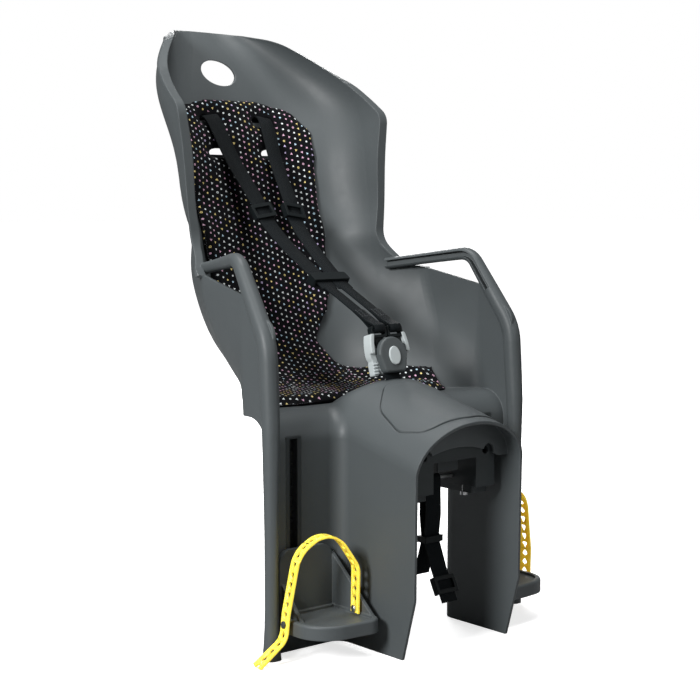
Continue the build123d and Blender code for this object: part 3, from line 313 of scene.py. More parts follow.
def stitch_group():
    """Geometry nodes that lay stitches end to end along the edges of a mesh."""
    tree = bpy.data.node_groups.new("laid_stitches", "GeometryNodeTree")
    face = tree.interface
    face.new_socket("Geometry", in_out="INPUT", socket_type="NodeSocketGeometry")
    for label, default in (("Pitch", 0.0035), ("Length", 0.0026), ("Thickness", 0.0007)):
        socket = face.new_socket(label, in_out="INPUT", socket_type="NodeSocketFloat")
        socket.default_value = default
    face.new_socket("Thread", in_out="INPUT", socket_type="NodeSocketMaterial")
    face.new_socket("Geometry", in_out="OUTPUT", socket_type="NodeSocketGeometry")
    given, end = tree.nodes.new("NodeGroupInput").outputs, tree.nodes.new("NodeGroupOutput")
    line = out(tree, "GeometryNodeMeshToCurve", {"Mesh": given["Geometry"]})
    values = {"Curve": line, "Length": given["Pitch"]}
    spots = put(tree, "GeometryNodeCurveToPoints", values, mode="LENGTH").outputs
    values = {"Vector": spots["Tangent"]}
    turn = out(tree, "FunctionNodeAlignRotationToVector", values, axis="Z")
    values = {"Segments": 6, "Rings": 4, "Radius": 0.5}
    drop = out(tree, "GeometryNodeMeshUVSphere", values, "Mesh")
    values = {"X": given["Thickness"], "Y": given["Thickness"], "Z": given["Length"]}
    size = out(tree, "ShaderNodeCombineXYZ", values)
    values = {"Points": spots["Points"], "Instance": drop, "Rotation": turn, "Scale": size}
    sewn = out(tree, "GeometryNodeInstanceOnPoints", values)
    real = out(tree, "GeometryNodeRealizeInstances", {"Geometry": sewn})
    values = {"Geometry": real, "Material": given["Thread"]}
    feed(tree, end, {"Geometry": out(tree, "GeometryNodeSetMaterial", values)})
    return tree


MAKERS = {
    "moulded_grain": grain_group,
    "plain_weave": weave_group,
    "scattered_motifs": motif_group,
    "laid_stitches": stitch_group,
}


def shared(name):
    """A node group, built once."""
    return bpy.data.node_groups.get(name) or MAKERS[name]()


def grouped(tree, name, inputs):
    """Place a shared group in a material; gives its outputs."""
    return put(tree, "ShaderNodeGroup", inputs, node_tree=shared(name)).outputs


def new_material(name):
    """Node material; gives it with its tree and its surface shader."""
    material = bpy.data.materials.new(name)
    material.use_nodes = True
    return material, material.node_tree, material.node_tree.nodes["Principled BSDF"]


def own_place(tree):
    """Place on the object itself."""
    return out(tree, "ShaderNodeTexCoord", output="Object")


def cloth_place(tree):
    """Place on the flat map of a cloth."""
    return out(tree, "ShaderNodeUVMap", uv_map="cloth")


def plastic(name, colour, grain, roughness, depth, soft_edge, shine):
    """Moulded plastic with grain, slow tone and edges that are rounded and lighter in patches."""
    material, tree, surface = new_material(name)
    texture = grouped(tree, "moulded_grain", {"Vector": own_place(tree), "Size": grain})
    rounded = out(tree, "ShaderNodeBevel", {"Radius": soft_edge}, samples=6)
    values = {0: rounded, 1: out(tree, "ShaderNodeNewGeometry", output="Normal")}
    facing = out(tree, "ShaderNodeVectorMath", values, "Value", operation="DOT_PRODUCT")
    # The colour is made lighter where the rounded edges turn away from the faces, in patches that
    # follow the polish.
    edge_lightening = sums(tree, "MULTIPLY", ranged(tree, facing, 0.99, 0.8), texture["Polish"])
    tone = blended(tree, texture["Tone"], shaded(colour, 0.86), tuple(colour))
    edge_colour = (*(min(1.0, part * 1.5 + 0.01) for part in colour[:3]), 1.0)
    feed(tree, surface, {
        "Base Color": blended(tree, edge_lightening, tone, edge_colour),
        "Roughness": sums(tree, "MULTIPLY_ADD", texture["Polish"], 0.16, roughness - 0.08),
        "Specular IOR Level": shine,
        "Normal": bumped(tree, texture["Height"], 0.35, depth, Normal=rounded),
    })
    return material


def steel(name, colour):
    """Brushed zinc-coated steel."""
    material, tree, surface = new_material(name)
    values = {"Vector": own_place(tree), "Scale": (1.0, 30.0, 30.0)}
    lines = noise(tree, out(tree, "ShaderNodeMapping", values), 60.0, 4.0)
    feed(tree, surface, {
        "Base Color": blended(tree, lines, shaded(colour, 0.8), colour),
        "Metallic": 1.0,
        "Roughness": sums(tree, "MULTIPLY_ADD", lines, 0.25, 0.22),
        "Normal": bumped(tree, lines, 0.2, 0.0002),
    })
    return material


def printed_cloth(name, colour, spacing):
    """Black pad cloth with its scattered print, bare on the binding."""
    material, tree, surface = new_material(name)
    where = cloth_place(tree)
    motifs = grouped(tree, "scattered_motifs", {"Vector": where, "Spacing": spacing})
    weave = grouped(tree, "plain_weave", {"Vector": where, "Pitch": 0.0011})
    ground = blended(tree, weave["Shade"], tuple(colour), shaded(colour, 2.2))
    bound = out(tree, "ShaderNodeAttribute", output="Fac", attribute_name="binding")
    worn = sums(tree, "MULTIPLY_ADD", noise(tree, where, 900.0, 2.0), 0.25, 0.8)
    ink = sums(tree, "MULTIPLY", motifs["Mask"], worn)
    ink = sums(tree, "MULTIPLY", ink, sums(tree, "SUBTRACT", 1.0, bound))
    feed(tree, surface, {
        "Base Color": blended(tree, ink, ground, motifs["Color"]),
        "Roughness": 0.88,
        "Specular IOR Level": 0.08,
        "Sheen Weight": 0.015,
        "Sheen Roughness": 0.5,
        "Normal": bumped(tree, weave["Height"], 0.5, 0.00025),
    })
    return material


def webbing(name, colour):
    """Tight woven strap."""
    material, tree, surface = new_material(name)
    weave = grouped(tree, "plain_weave", {"Vector": cloth_place(tree), "Pitch": 0.0018})
    feed(tree, surface, {
        "Base Color": blended(tree, weave["Shade"], tuple(colour), shaded(colour, 1.9)),
        "Roughness": 0.6,
        "Specular IOR Level": 0.1,
        "Sheen Weight": 0.015,
        "Sheen Roughness": 0.4,
        "Normal": bumped(tree, weave["Height"], 0.6, 0.0004),
    })
    return material


def rubbery(name, colour):
    """Soft fluorescent plastic of the foot straps, which lets a little light through, with painted
    shade inside its holes and a painted orange glow outside them that stands in for light let through
    where the strap is in shade.
    """
    material, tree, surface = new_material(name)
    texture = grouped(tree, "moulded_grain", {"Vector": own_place(tree), "Size": 0.0016})
    rounded = out(tree, "ShaderNodeBevel", {"Radius": 0.0008}, samples=6)
    darker = (colour[0] * 0.96, colour[1] * 0.92, colour[2] * 0.85, 1.0)
    tone = blended(tree, texture["Tone"], darker, tuple(colour))
    # Painted shade: the colour darkens to a deep brown where the occlusion finds the hole walls
    # enclosed.
    values = {"Distance": 0.003}
    hollow = out(tree, "ShaderNodeAmbientOcclusion", values, "AO", samples=6, only_local=True)
    unshaded_share = ranged(tree, hollow, 0.5, 0.85)
    painted_hole_shade = (colour[0] * 0.12, colour[1] * 0.08, colour[2] * 0.1, 1.0)
    feed(tree, surface, {
        "Base Color": blended(tree, unshaded_share, painted_hole_shade, tone),
        # Painted glow: an orange emission, weaker inside the holes, stands in for light let through
        # where the strap is in shade.
        "Emission Color": (1.0, 0.54, 0.02, 1.0),
        "Emission Strength": sums(tree, "MULTIPLY", unshaded_share, 0.27),
        "Roughness": sums(tree, "MULTIPLY_ADD", texture["Polish"], 0.2, 0.3),
        "Subsurface Weight": 0.5,
        "Subsurface Radius": (0.008, 0.005, 0.001),
        "Subsurface Scale": 0.6,
        "Normal": bumped(tree, texture["Height"], 0.15, 0.0002, Normal=rounded),
    })
    return material


def thread(name, colour):
    """Twisted sewing thread."""
    material, tree, surface = new_material(name)
    twist = noise(tree, own_place(tree), 2500.0, 2.0)
    tone = blended(tree, twist, tuple(colour), shaded(colour, 1.8))
    feed(tree, surface, {"Base Color": tone, "Roughness": 0.6})
    return material


# Mesh building

def centre(node):
    """Middle of a CAD node."""
    low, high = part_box(node)
    return (low + high) / 2


def points(data):
    """Places and normals of a mesh's points as arrays."""
    found = []
    for name in ("co", "normal"):
        values = np.empty(3 * len(data.vertices))
        data.vertices.foreach_get(name, values)
        found.append(values.reshape(-1, 3))
    return found


def move_points(data, places):
    """Move a mesh's points."""
    data.vertices.foreach_set("co", places.ravel())
    data.update()


def dots(first, second):
    """Dot product of each pair of rows."""
    return np.einsum("ij,ij->i", first, second)


def dress(data, material):
    """Give a mesh its finish."""
    data.materials.clear()
    data.materials.append(material)


def linked(name, data):
    """New object in the scene."""
    piece = bpy.data.objects.new(name, data)
    bpy.context.scene.collection.objects.link(piece)
    return piece


def turn_to(piece, place, aim):
    """Put a camera or a lamp at a place and turn it to a point."""
    piece.location = place
    piece.rotation_euler = (Vector(aim) - Vector(place)).to_track_quat("-Z", "Y").to_euler()


def finished(name, mesh, material):
    """Object from a bmesh, in the scene, with its finish."""
    data = bpy.data.meshes.new(name)
    mesh.to_mesh(data)
    mesh.free()
    dress(data, material)
    return linked(name, data)


def same_faces(node, name, material):
    """Copy of a CAD node with its faces and normals as they are."""
    data = NODES[node].data.copy()
    dress(data, material)
    return linked(name, data)


def merged_copy(node, name, material):
    """Copy of a CAD node with its doubles merged."""
    mesh = bmesh.new()
    mesh.from_mesh(NODES[node].data)
    bmesh.ops.remove_doubles(mesh, verts=mesh.verts, dist=1e-5)
    return finished(name, mesh, material)


def stands_for(piece, node, body="seat"):
    """Let a piece ride on a body in place of a CAD node."""
    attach(piece, body)
    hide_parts(node)


def applied(piece):
    """Turn a piece and its modifiers into a plain mesh."""
    bpy.context.view_layer.update()
    graph = bpy.context.evaluated_depsgraph_get()
    data = bpy.data.meshes.new_from_object(piece.evaluated_get(graph))
    piece.modifiers.clear()
    piece.data = data


def voxel_remesh(piece, size):
    """Lay an even mesh over a piece."""
    remesh = piece.modifiers.new("remesh", "REMESH")
    remesh.mode = "VOXEL"
    remesh.voxel_size = size
    applied(piece)


def add_smooth(piece, rounds, group=""):
    """Add a smoothing modifier, by the weights of a group if one is named."""
    smooth = piece.modifiers.new("smooth", "SMOOTH")
    smooth.factor, smooth.iterations, smooth.vertex_group = 0.5, rounds, group


def lay_chart(data, flat):
    """Give a mesh a flat map of its cloth, from a place for each point."""
    corners = np.empty(len(data.loops), int)
    data.loops.foreach_get("vertex_index", corners)
    data.uv_layers.new(name="cloth").data.foreach_set("uv", flat[corners].ravel())


def smooth_path(points, per_run=10):
    """Points on a smooth curve through the given ones."""
    points = [Vector(point) for point in points]
    padded = [2 * points[0] - points[1], *points, 2 * points[-1] - points[-2]]
    path = []
    for before, start, stop, after in zip(padded, padded[1:], padded[2:], padded[3:]):
        for step in range(per_run):
            t = step / per_run
            a = 2 * start
            b = (stop - before) * t
            c = (2 * before - 5 * start + 4 * stop - after) * t * t
            d = (3 * start - before - 3 * stop + after) * t * t * t
            path.append((a + b + c + d) / 2)
    return path + [points[-1]]


def strip(mesh, path, across, width, thick):
    """Add a flat strap along a path to a mesh; across gives the way its width runs at each point."""
    chart = mesh.loops.layers.uv.get("cloth") or mesh.loops.layers.uv.new("cloth")
    soft = thick * 0.35
    half, depth = width / 2, thick / 2
    outline = [
        (-half, -depth + soft), (-half + soft, -depth), (half - soft, -depth), (half, -depth + soft),
        (half, depth - soft), (half - soft, depth), (-half + soft, depth), (-half, depth - soft),
    ]
    rings, lengths, run = [], [], 0.0
    for n, point in enumerate(path):
        tangent = (path[min(n + 1, len(path) - 1)] - path[max(n - 1, 0)]).normalized()
        side = Vector(across(n / (len(path) - 1)))
        side = (side - tangent * side.dot(tangent)).normalized()
        normal = tangent.cross(side)
        rings.append([mesh.verts.new(point + side * u + normal * v) for u, v in outline])
        run += (point - path[n - 1]).length if n else 0.0
        lengths.append(run)
    count = len(outline)
    for n in range(len(rings) - 1):
        for k in range(count):
            after = (k + 1) % count
            face = mesh.faces.new((rings[n][k], rings[n][after], rings[n + 1][after], rings[n + 1][k]))
            face.smooth = True
            marks = ((k, n), (after, n), (after, n + 1), (k, n + 1))
            for loop, (corner, ring) in zip(face.loops, marks):
                loop[chart].uv = (outline[corner][0], lengths[ring])
    for ring, n in ((rings[0][::-1], 0), (rings[-1], len(rings) - 1)):
        face = mesh.faces.new(ring)
        for loop in face.loops:
            loop[chart].uv = (0.0, lengths[n])
    bmesh.ops.recalc_face_normals(mesh, faces=mesh.faces)


def level(t):
    """Way of a strap's width that lies level all along."""
    return (1.0, 0.0, 0.0)


def stitches(name, lines, length, material):
    """Stitches along rows of points, as one plain mesh on the seat."""
    mesh = bmesh.new()
    for line in lines:
        spots = [mesh.verts.new(point) for point in line]
        for first, second in zip(spots, spots[1:]):
            mesh.edges.new((first, second))
    piece = finished(name, mesh, material)
    modifier = piece.modifiers.new("stitches", "NODES")
    modifier.node_group = shared("laid_stitches")
    given = {"Pitch": length * 1.35, "Length": length, "Thickness": length * 0.27, "Thread": material}
    for item in modifier.node_group.interface.items_tree:
        if item.in_out == "INPUT" and item.name in given:
            modifier[item.identifier] = given[item.name]
    applied(piece)
    piece.data.shade_smooth()
    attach(piece, "seat")
    return piece


# Operators

class BIKESEAT_OT_stage(bpy.types.Operator):
    """Camera, floor, lamps and world."""

    bl_idname = "bikeseat.stage"
    bl_label = "Stage"

    sensor = 36.0
    floor_half = 40.0
    floor_drop = 0.0005
    # Share of the floor's colour that lights the object, and its glow from near to far for the camera
    floor_share = 0.35
    floor_reach = (0.4, 1.2)
    floor_glow = (0.72, 1.1)
    # Soft boxes: place, size and power
    boxes = {
        "key": ((-2.4, -0.5, 1.1), 0.7, 92.0),
        "front": ((0.9, -2.3, 1.2), 1.6, 11.0),
        "top": ((-0.1, 0.1, 2.6), 1.0, 58.0),
        "rear": ((1.5, 2.4, 1.3), 1.4, 60.0),
    }
    # Strength of the world as a light, and what reflections see on top of it
    world_light = 0.12
    world_shine = 0.14

    def execute(self, context):
        settings = context.scene.bikeseat_stage
        camera = linked("camera", bpy.data.cameras.new("camera"))
        camera.data.lens = settings.lens
        camera.data.sensor_width = self.sensor
        turn_to(camera, settings.eye, settings.aim)
        context.scene.camera = camera
        context.scene.view_settings.view_transform = "Standard"
        self.floor(settings.floor)
        self.lamps()
        self.world(context)
        return {"FINISHED"}

    def floor(self, colour):
        """Pale floor that keeps the shadow and looks white to the camera."""
        mesh = bmesh.new()
        bmesh.ops.create_grid(mesh, x_segments=1, y_segments=1, size=self.floor_half)
        material, tree, surface = new_material("stage_floor")
        seen = out(tree, "ShaderNodeLightPath", output="Is Camera Ray")
        feed(tree, surface, {
            "Base Color": blended(tree, seen, shaded(colour, self.floor_share), tuple(colour)),
            "Roughness": 0.9,
            "Specular IOR Level": 0.0,
        })
        away = length(tree, own_place(tree))
        whiter = ranged(tree, away, *self.floor_reach, *self.floor_glow)
        values = {"Color": WHITE, "Strength": sums(tree, "MULTIPLY", seen, whiter)}
        values = {0: surface.outputs[0], 1: out(tree, "ShaderNodeEmission", values)}
        both = out(tree, "ShaderNodeAddShader", values)
        feed(tree, tree.nodes["Material Output"], {"Surface": both})
        floor = finished("floor", mesh, material)
        floor.location = (MIDDLE.x, MIDDLE.y, CAD_BOX[0].z - self.floor_drop)

    def lamps(self):
        """A key from the left, one from above, and weaker ones from the front and the rear."""
        for name, (place, size, power) in self.boxes.items():
            lamp = bpy.data.lights.new(name, "AREA")
            lamp.shape, lamp.size, lamp.energy = "DISK", size, power
            turn_to(linked(name, lamp), place, MIDDLE)

    def world(self, context):
        """White surroundings for the camera, dimmer in reflections and as a light."""
        world = bpy.data.worlds.new("stage_world")
        world.use_nodes = True
        context.scene.world = world
        tree = world.node_tree
        rays = put(tree, "ShaderNodeLightPath").outputs
        shine = sums(tree, "MULTIPLY_ADD", rays["Is Glossy Ray"], self.world_shine, self.world_light)
        strength = sums(tree, "MAXIMUM", rays["Is Camera Ray"], shine)
        feed(tree, tree.nodes["Background"], {"Color": WHITE, "Strength": strength})


class BIKESEAT_OT_mouldings(bpy.types.Operator):
    """Shell, cover and buckle, and the finishes of the racks, footrests and small fittings."""

    bl_idname = "bikeseat.mouldings"
    bl_label = "Mouldings"

    # Setting that holds the colour, then roughness, depth of grain, rounding of edges and shine
    plastics = {
        "shell_plastic": ("shell", 0.5, 0.00012, 0.002, 0.3),
        "fitting_plastic": ("fitting", 0.42, 0.0001, 0.0006, 0.15),
        "rack_plastic": ("rack", 0.45, 0.0001, 0.0006, 0.25),
        "buckle_plastic": ("buckle", 0.48, 0.0001, 0.001, 0.3),
        "pale_plastic": ("pale", 0.42, 0.00008, 0.001, 0.3),
        "bridge_plastic": ("rack", 0.4, 0.0001, 0.0006, 0.2),
    }
    zinc = (0.62, 0.63, 0.64, 1.0)
    # Finish of each CAD node; the two of a pair have one name here
    worn = {
        "footrest": "shell_plastic",
        "rack": "rack_plastic",
        "foot_stud": "rack_plastic",
        "foot_rivet": "bright_steel",
        "rack_clip": "fitting_plastic",
        "strap_anchor": "fitting_plastic",
        "strap_slider": "fitting_plastic",
        "strap_keeper": "fitting_plastic",
        "buckle_tongue": "fitting_plastic",
        "buckle_front": "buckle_plastic",
        "buckle_button": "pale_plastic",
        "crotch_bar": "bright_steel",
        "adapter_housing": "bridge_plastic",
        "bridge_plate": "bridge_plastic",
        "clamp_plate": "bridge_plastic",
        "clamp_screws": "bright_steel",
        "seat_screws": "bright_steel",
        "strap_bar": "bright_steel",
        "safety_keeper": "fitting_plastic",
        "safety_slider": "fitting_plastic",
    }

    # Arch of the shell's top seen from the front: distance from the middle, height
    arch = (
        (0.0, 0.556), (0.02, 0.5556), (0.04, 0.5543), (0.06, 0.5513), (0.08, 0.5455),
        (0.1, 0.536), (0.112, 0.5287), (0.124, 0.5197), (0.136, 0.509), (0.148, 0.498),
        (0.158, 0.488), (0.166, 0.48), (0.174, 0.472), (0.2, 0.45),
    )
    arch_soft = 0.0035
    cover_seam = 0.0008

    # The buckle's face: its middle, its tilt, and how far its ears are lifted and leant at each height
    buckle_voxel = 0.0006
    buckle_rounds = 12
    face = (0.0, 0.122, 0.112)
    tilt = math.radians(15.0)
    ear_from = (0.023, 0.0255)
    ear_lift = ((-0.007, 0.0), (-0.002, 0.005), (0.032, -0.0035))
    ear_lean = ((0.004, 0.0), (0.014, 0.0006), (0.024, 0.002), (0.032, 0.0036))

    def execute(self, context):
        settings = context.scene.bikeseat_plastic
        made = {"bright_steel": steel("bright_steel", self.zinc)}
        for name, (colour, *look) in self.plastics.items():
            made[name] = plastic(name, getattr(settings, colour), settings.grain, *look)
        for node, piece in NODES.items():
            stem = node.removesuffix("_left").removesuffix("_right")
            if stem in self.worn:
                dress(piece.data, made[self.worn[stem]])
        self.shell(made["shell_plastic"])
        self.cover(made["shell_plastic"])
        self.buckle(made["pale_plastic"])
        return {"FINISHED"}

    def shell(self, material):
        """The shell with its top edge drawn down on to one smooth arch; its faces and normals stay."""
        piece = same_faces("seat_shell", "shell_moulding", material)
        xs, zs = zip(*self.arch)
        for vertex in piece.data.vertices:
            top = float(np.interp(abs(vertex.co.x), xs, zs)) - self.arch_soft
            over = vertex.co.z - top
            if over > 0.0 and vertex.co.z > zs[-1]:
                vertex.co.z = top + self.arch_soft * (1.0 - math.exp(-over / self.arch_soft))
        piece.data.update()
        stands_for(piece, "seat_shell")

    def cover(self, material):
        """The cover on the hump, a little smaller, so that its seam shows."""
        piece = same_faces("hump_cover", "hump_panel", material)
        places = points(piece.data)[0]
        low, high = places.min(axis=0), places.max(axis=0)
        middle, half = (low + high) / 2, (high - low) / 2
        places[:, :2] = middle[:2] + (places - middle)[:, :2] * (1.0 - self.cover_seam / half[:2])
        move_points(piece.data, places)
        stands_for(piece, "hump_cover")

    def buckle(self, material):
        """The buckle's rear half with soft moulded edges and its ears bent round the straps."""
        piece = merged_copy("buckle_rear", "buckle_body", material)
        voxel_remesh(piece, self.buckle_voxel)
        up = Vector((0.0, math.sin(self.tilt), math.cos(self.tilt)))
        for vertex in piece.data.vertices:
            height = (vertex.co - Vector(self.face)).dot(up)
            share = float(np.interp(abs(vertex.co.x), self.ear_from, (0.0, 1.0)))
            lean = share * float(np.interp(height, *zip(*self.ear_lean)))
            vertex.co += up * share * float(np.interp(height, *zip(*self.ear_lift)))
            vertex.co.x -= math.copysign(lean, vertex.co.x)
        add_smooth(piece, self.buckle_rounds)
        applied(piece)
        piece.data.shade_smooth()
        stands_for(piece, "buckle_rear")


class BIKESEAT_OT_foot_straps(bpy.types.Operator):
    """Straps over the feet, with their free holes opened to rounded triangles."""

    bl_idname = "bikeseat.foot_straps"
    bl_label = "Foot straps"

    crease = math.radians(40.0)
    # Free holes: at most this wide and this far from a fastener; then how much wider and more cornered
    largest_hole = 0.008
    fastener_reach = 0.007
    wider = 1.4
    cornered = 0.2

    def execute(self, context):
        material = rubbery("strap_rubber", context.scene.bikeseat_strap.colour)
        for side in SIDES:
            piece = merged_copy(f"foot_strap_{side}", f"foot_band_{side}", material)
            fasteners = [centre(f"foot_stud_{side}"), centre(f"foot_rivet_{side}")]
            self.cut_corners(piece.data, fasteners)
            piece.data.shade_smooth()
            piece.data.set_sharp_from_angle(angle=self.crease)
            stands_for(piece, f"foot_strap_{side}", f"footrest_{side}")
        return {"FINISHED"}

    def cut_corners(self, data, fasteners):
        """Open the free holes, whose walls are the small smooth groups of faces."""
        mesh = bmesh.new()
        mesh.from_mesh(data)
        for wall in self.smooth_groups(mesh):
            rim = {corner for face in wall for corner in face.verts}
            rim = sorted(rim, key=lambda corner: corner.index)
            places = np.array([corner.co for corner in rim])
            hub = places.mean(axis=0)
            if np.ptp(places, axis=0).max() > self.largest_hole:
                continue
            if min((Vector(hub) - place).length for place in fasteners) < self.fastener_reach:
                continue
            normals = np.array([face.normal for face in wall])
            axis = np.linalg.svd(normals)[2][2]
            along = np.cross(axis, (0.0, 1.0, 0.0))
            along /= np.linalg.norm(along)
            across = np.cross(axis, along)
            away = places - hub
            turn = np.arctan2(away @ across, away @ along)
            flat = away - np.outer(away @ axis, axis)
            places += flat * (self.wider - 1.0 + self.cornered * np.cos(3.0 * turn))[:, None]
            for corner, place in zip(rim, places):
                corner.co = place
        mesh.to_mesh(data)
        mesh.free()

    def smooth_groups(self, mesh):
        """Groups of faces that run into each other without a crease."""
        for first in mesh.faces:
            first.tag = False
        for first in mesh.faces:
            group, front = [], [] if first.tag else [first]
            first.tag = True
            while front:
                face = front.pop()
                group.append(face)
                for edge in face.edges:
                    if edge.calc_face_angle(math.pi) > self.crease:
                        continue
                    fresh = [other for other in edge.link_faces if not other.tag]
                    for other in fresh:
                        other.tag = True
                    front.extend(fresh)
            if group:
                yield group


class BIKESEAT_OT_pad(bpy.types.Operator):
    """Padded cloth pad, swollen from the pad's plain solid, with its bound and sewn edge."""

    bl_idname = "bikeseat.pad"
    bl_label = "Seat pad"

    voxel = 0.004
    # Rounds of smoothing all over and at the edges
    rounds = (3, 14)
    fill = 0.7
    # Middle line of the pad's face from its front edge to its top: distance back, height
    profile = (
        (0.14, 0.0602), (0.25, 0.0602), (0.279, 0.066), (0.31, 0.091), (0.333, 0.121),
        (0.353, 0.161), (0.389, 0.261), (0.416, 0.335), (0.447, 0.423), (0.475, 0.47),
    )
    # Half outlines of the back part, across and up, and of the seat part, across and back
    back_line = (
        (0.052, 0.456), (0.098, 0.446), (0.121, 0.414), (0.113, 0.337),
        (0.11, 0.252), (0.103, 0.182), (0.086, 0.148), (0.04, 0.102),
    )
    seat_line = (
        (0.044, 0.345), (0.062, 0.298), (0.1, 0.272), (0.12, 0.257), (0.14, 0.238), (0.153, 0.219),
        (0.16, 0.197), (0.157, 0.177), (0.146, 0.163), (0.12, 0.156), (0.1, 0.1535), (0.04, 0.154),
    )
    # In the seat's line, where its rounded end begins and where its tip is; and the end's top
    seat_bend, seat_tip = 2, 6
    seat_top = 0.11
    # Slots for the straps: across and up, half their size, and where they begin
    slots = ((0.046, 0.425), (0.046, 0.378))
    slot_half = (0.017, 0.005)
    slots_behind = 0.389
    # Filling: pressure, quality and steps of the cloth; faces turned less to the child stay flat
    pressure, quality, steps = 4.0, 4, 20
    rear_facing = 0.05
    pinch_depth = 0.0032
    pinch_reach = 0.015
    # Half the width that lies flat; blur of the binding's line; turn of the face from print to binding
    flat_half = 0.06
    binding_blur = 0.0008
    binding_turn = (0.62, 0.47)
    # Seam: distance from the edge, and the most that counts as found; its lift off the cloth
    seam_inset = 0.0065
    seam_most = 1.35 * seam_inset
    seam_lift = 0.0001

    def execute(self, context):
        cloth = context.scene.bikeseat_cloth
        material = printed_cloth("pad_cloth", cloth.pad, cloth.spacing)
        pad = merged_copy("seat_pad", "padded_seat_cover", material)
        voxel_remesh(pad, self.voxel)
        self.round_ends(pad.data)
        voxel_remesh(pad, self.voxel)
        self.swell(context, pad, cloth.swell)
        self.pinch(pad)
        add_smooth(pad, self.rounds[0])
        add_smooth(pad, self.rounds[1], "edge")
        finer = pad.modifiers.new("finer", "SUBSURF")
        finer.levels = finer.render_levels = 1
        applied(pad)
        self.chart(pad.data, cloth.binding)
        pad.data.shade_smooth()
        stands_for(pad, "seat_pad")
        seam = stitches("pad_seam", self.seams(pad), cloth.stitch, thread("pad_thread", cloth.thread))
        return {"FINISHED"}

    def along(self, places):
        """Distance along the middle line, distance off it and the way the pad faces, for each point."""
        line = np.array(self.profile)
        flat = places[:, 1:]
        best = np.full(len(flat), np.inf)
        run, off, facing = np.zeros(len(flat)), np.zeros(len(flat)), np.zeros((len(flat), 3))
        start = 0.0
        for first, second in zip(line, line[1:]):
            length = np.linalg.norm(second - first)
            way = (second - first) / length
            part = np.clip((flat - first) @ way, 0.0, length)
            gap = np.linalg.norm(flat - first - part[:, None] * way, axis=1)
            near = gap < best
            best[near], run[near], off[near] = gap[near], start + part[near], gap[near]
            facing[near] = (0.0, -way[1], way[0])
            start += length
        return run, off, facing

    def inset(self, half, flat):
        """Distance inside the outline that a half outline and its mirror image make."""
        half = np.array(half)
        ring = np.vstack((half, half[::-1] * (-1.0, 1.0)))
        gap = np.full(len(flat), np.inf)
        inside = np.zeros(len(flat), bool)
        for first, second in zip(ring, np.roll(ring, -1, axis=0)):
            run = second - first
            part = np.clip((flat - first) @ run / (run @ run), 0.0, 1.0)
            gap = np.minimum(gap, np.linalg.norm(flat - first - part[:, None] * run, axis=1))
            over = (first[1] > flat[:, 1]) != (second[1] > flat[:, 1])
            rise = np.where(run[1] == 0.0, 1.0, run[1])
            cross = first[0] + run[0] * (flat[:, 1] - first[1]) / rise
            inside ^= over & (flat[:, 0] < cross)
        return np.where(inside, gap, -gap)

    def from_edge(self, places):
        """Distance of each point from the pad's sewn edges and its slots."""
        back = self.inset(self.back_line, places[:, (0, 2)])
        outer = np.maximum(back, self.inset(self.seat_line, places[:, (0, 1)]))
        for x, z in self.slots:
            wide = np.abs(np.abs(places[:, 0]) - x) - self.slot_half[0]
            high = np.abs(places[:, 2] - z) - self.slot_half[1]
            gap = np.hypot(np.maximum(wide, 0.0), np.maximum(high, 0.0))
            outer = np.where(places[:, 1] > self.slots_behind, np.minimum(outer, gap), outer)
        return outer

    def round_ends(self, data):
        """Draw the ends of the seat part in to their rounded outline."""
        places = points(data)[0]
        line = np.array(self.seat_line)
        rear = line[self.seat_bend : self.seat_tip + 1]
        front = line[self.seat_tip : -1][::-1]
        across = np.abs(places[:, 0])
        end = (places[:, 2] < self.seat_top) & (across > rear[0, 0])
        places[end, 1] = np.clip(
            places[end, 1], np.interp(across[end], *front.T), np.interp(across[end], *rear.T)
        )
        places[end, 0] = np.clip(places[end, 0], -rear[-1, 0], rear[-1, 0])
        move_points(data, places)

    def swell(self, context, pad, most):
        """Blow the pad up a little, but only on the side that the child sits on."""
        rest, normals = points(pad.data)
        cloth = pad.modifiers.new("cloth", "CLOTH")
        cloth.settings.use_pressure = True
        cloth.settings.uniform_pressure_force = self.pressure
        cloth.settings.effector_weights.gravity = 0.0
        cloth.settings.quality = self.quality
        for step in range(1, self.steps + 1):
            context.scene.frame_set(step)
        graph = context.evaluated_depsgraph_get()
        move = points(pad.evaluated_get(graph).data)[0] - rest
        pad.modifiers.clear()
        context.scene.frame_set(1)
        rear = dots(normals, self.along(rest)[2]) < self.rear_facing
        outward = np.maximum(dots(move, normals), 0.0)
        move[rear] -= (normals * outward[:, None])[rear]
        length = np.linalg.norm(move, axis=1)
        move *= np.minimum(1.0, most / np.maximum(length, 1e-9))[:, None]
        move_points(pad.data, rest + move)

    def pinch(self, pad):
        """Draw the face down towards the sewn edges, where the pad is thin."""
        places, normals = points(pad.data)
        facing = self.along(places)[2]
        near = np.clip(1.0 - self.from_edge(places) / self.pinch_reach, 0.0, 1.0)
        front = np.clip(dots(normals, facing) * 2.0, 0.0, 1.0)
        move_points(pad.data, places - facing * (self.pinch_depth * near**2 * front)[:, None])
        group = pad.vertex_groups.new(name="edge")
        for index in np.flatnonzero(near > 0.0):
            group.add([int(index)], float(near[index]), "REPLACE")

    def chart(self, data, binding):
        """Flat map of the cloth, across and along the pad, and each point's share in the binding."""
        places, normals = points(data)
        run, off, facing = self.along(places)
        across = np.abs(places[:, 0])
        beyond = np.maximum(across - self.flat_half, 0.0)
        risen = np.where(across > self.flat_half, off, 0.0)
        wide = np.minimum(across, self.flat_half) + np.hypot(beyond, risen)
        lay_chart(data, np.stack((np.sign(places[:, 0]) * wide, run), axis=1))
        share = np.clip((binding - self.from_edge(places)) / self.binding_blur + 0.5, 0.0, 1.0)
        start, stop = self.binding_turn
        turned = np.clip((start - dots(normals, facing)) / (start - stop), 0.0, 1.0)
        mark = data.attributes.new("binding", "FLOAT", "POINT")
        mark.data.foreach_set("value", np.maximum(share, turned))

    def seams(self, pad):
        """Rows of points on the pad's face, a little inside its outline."""
        surface = BVHTree.FromObject(pad, bpy.context.evaluated_depsgraph_get())
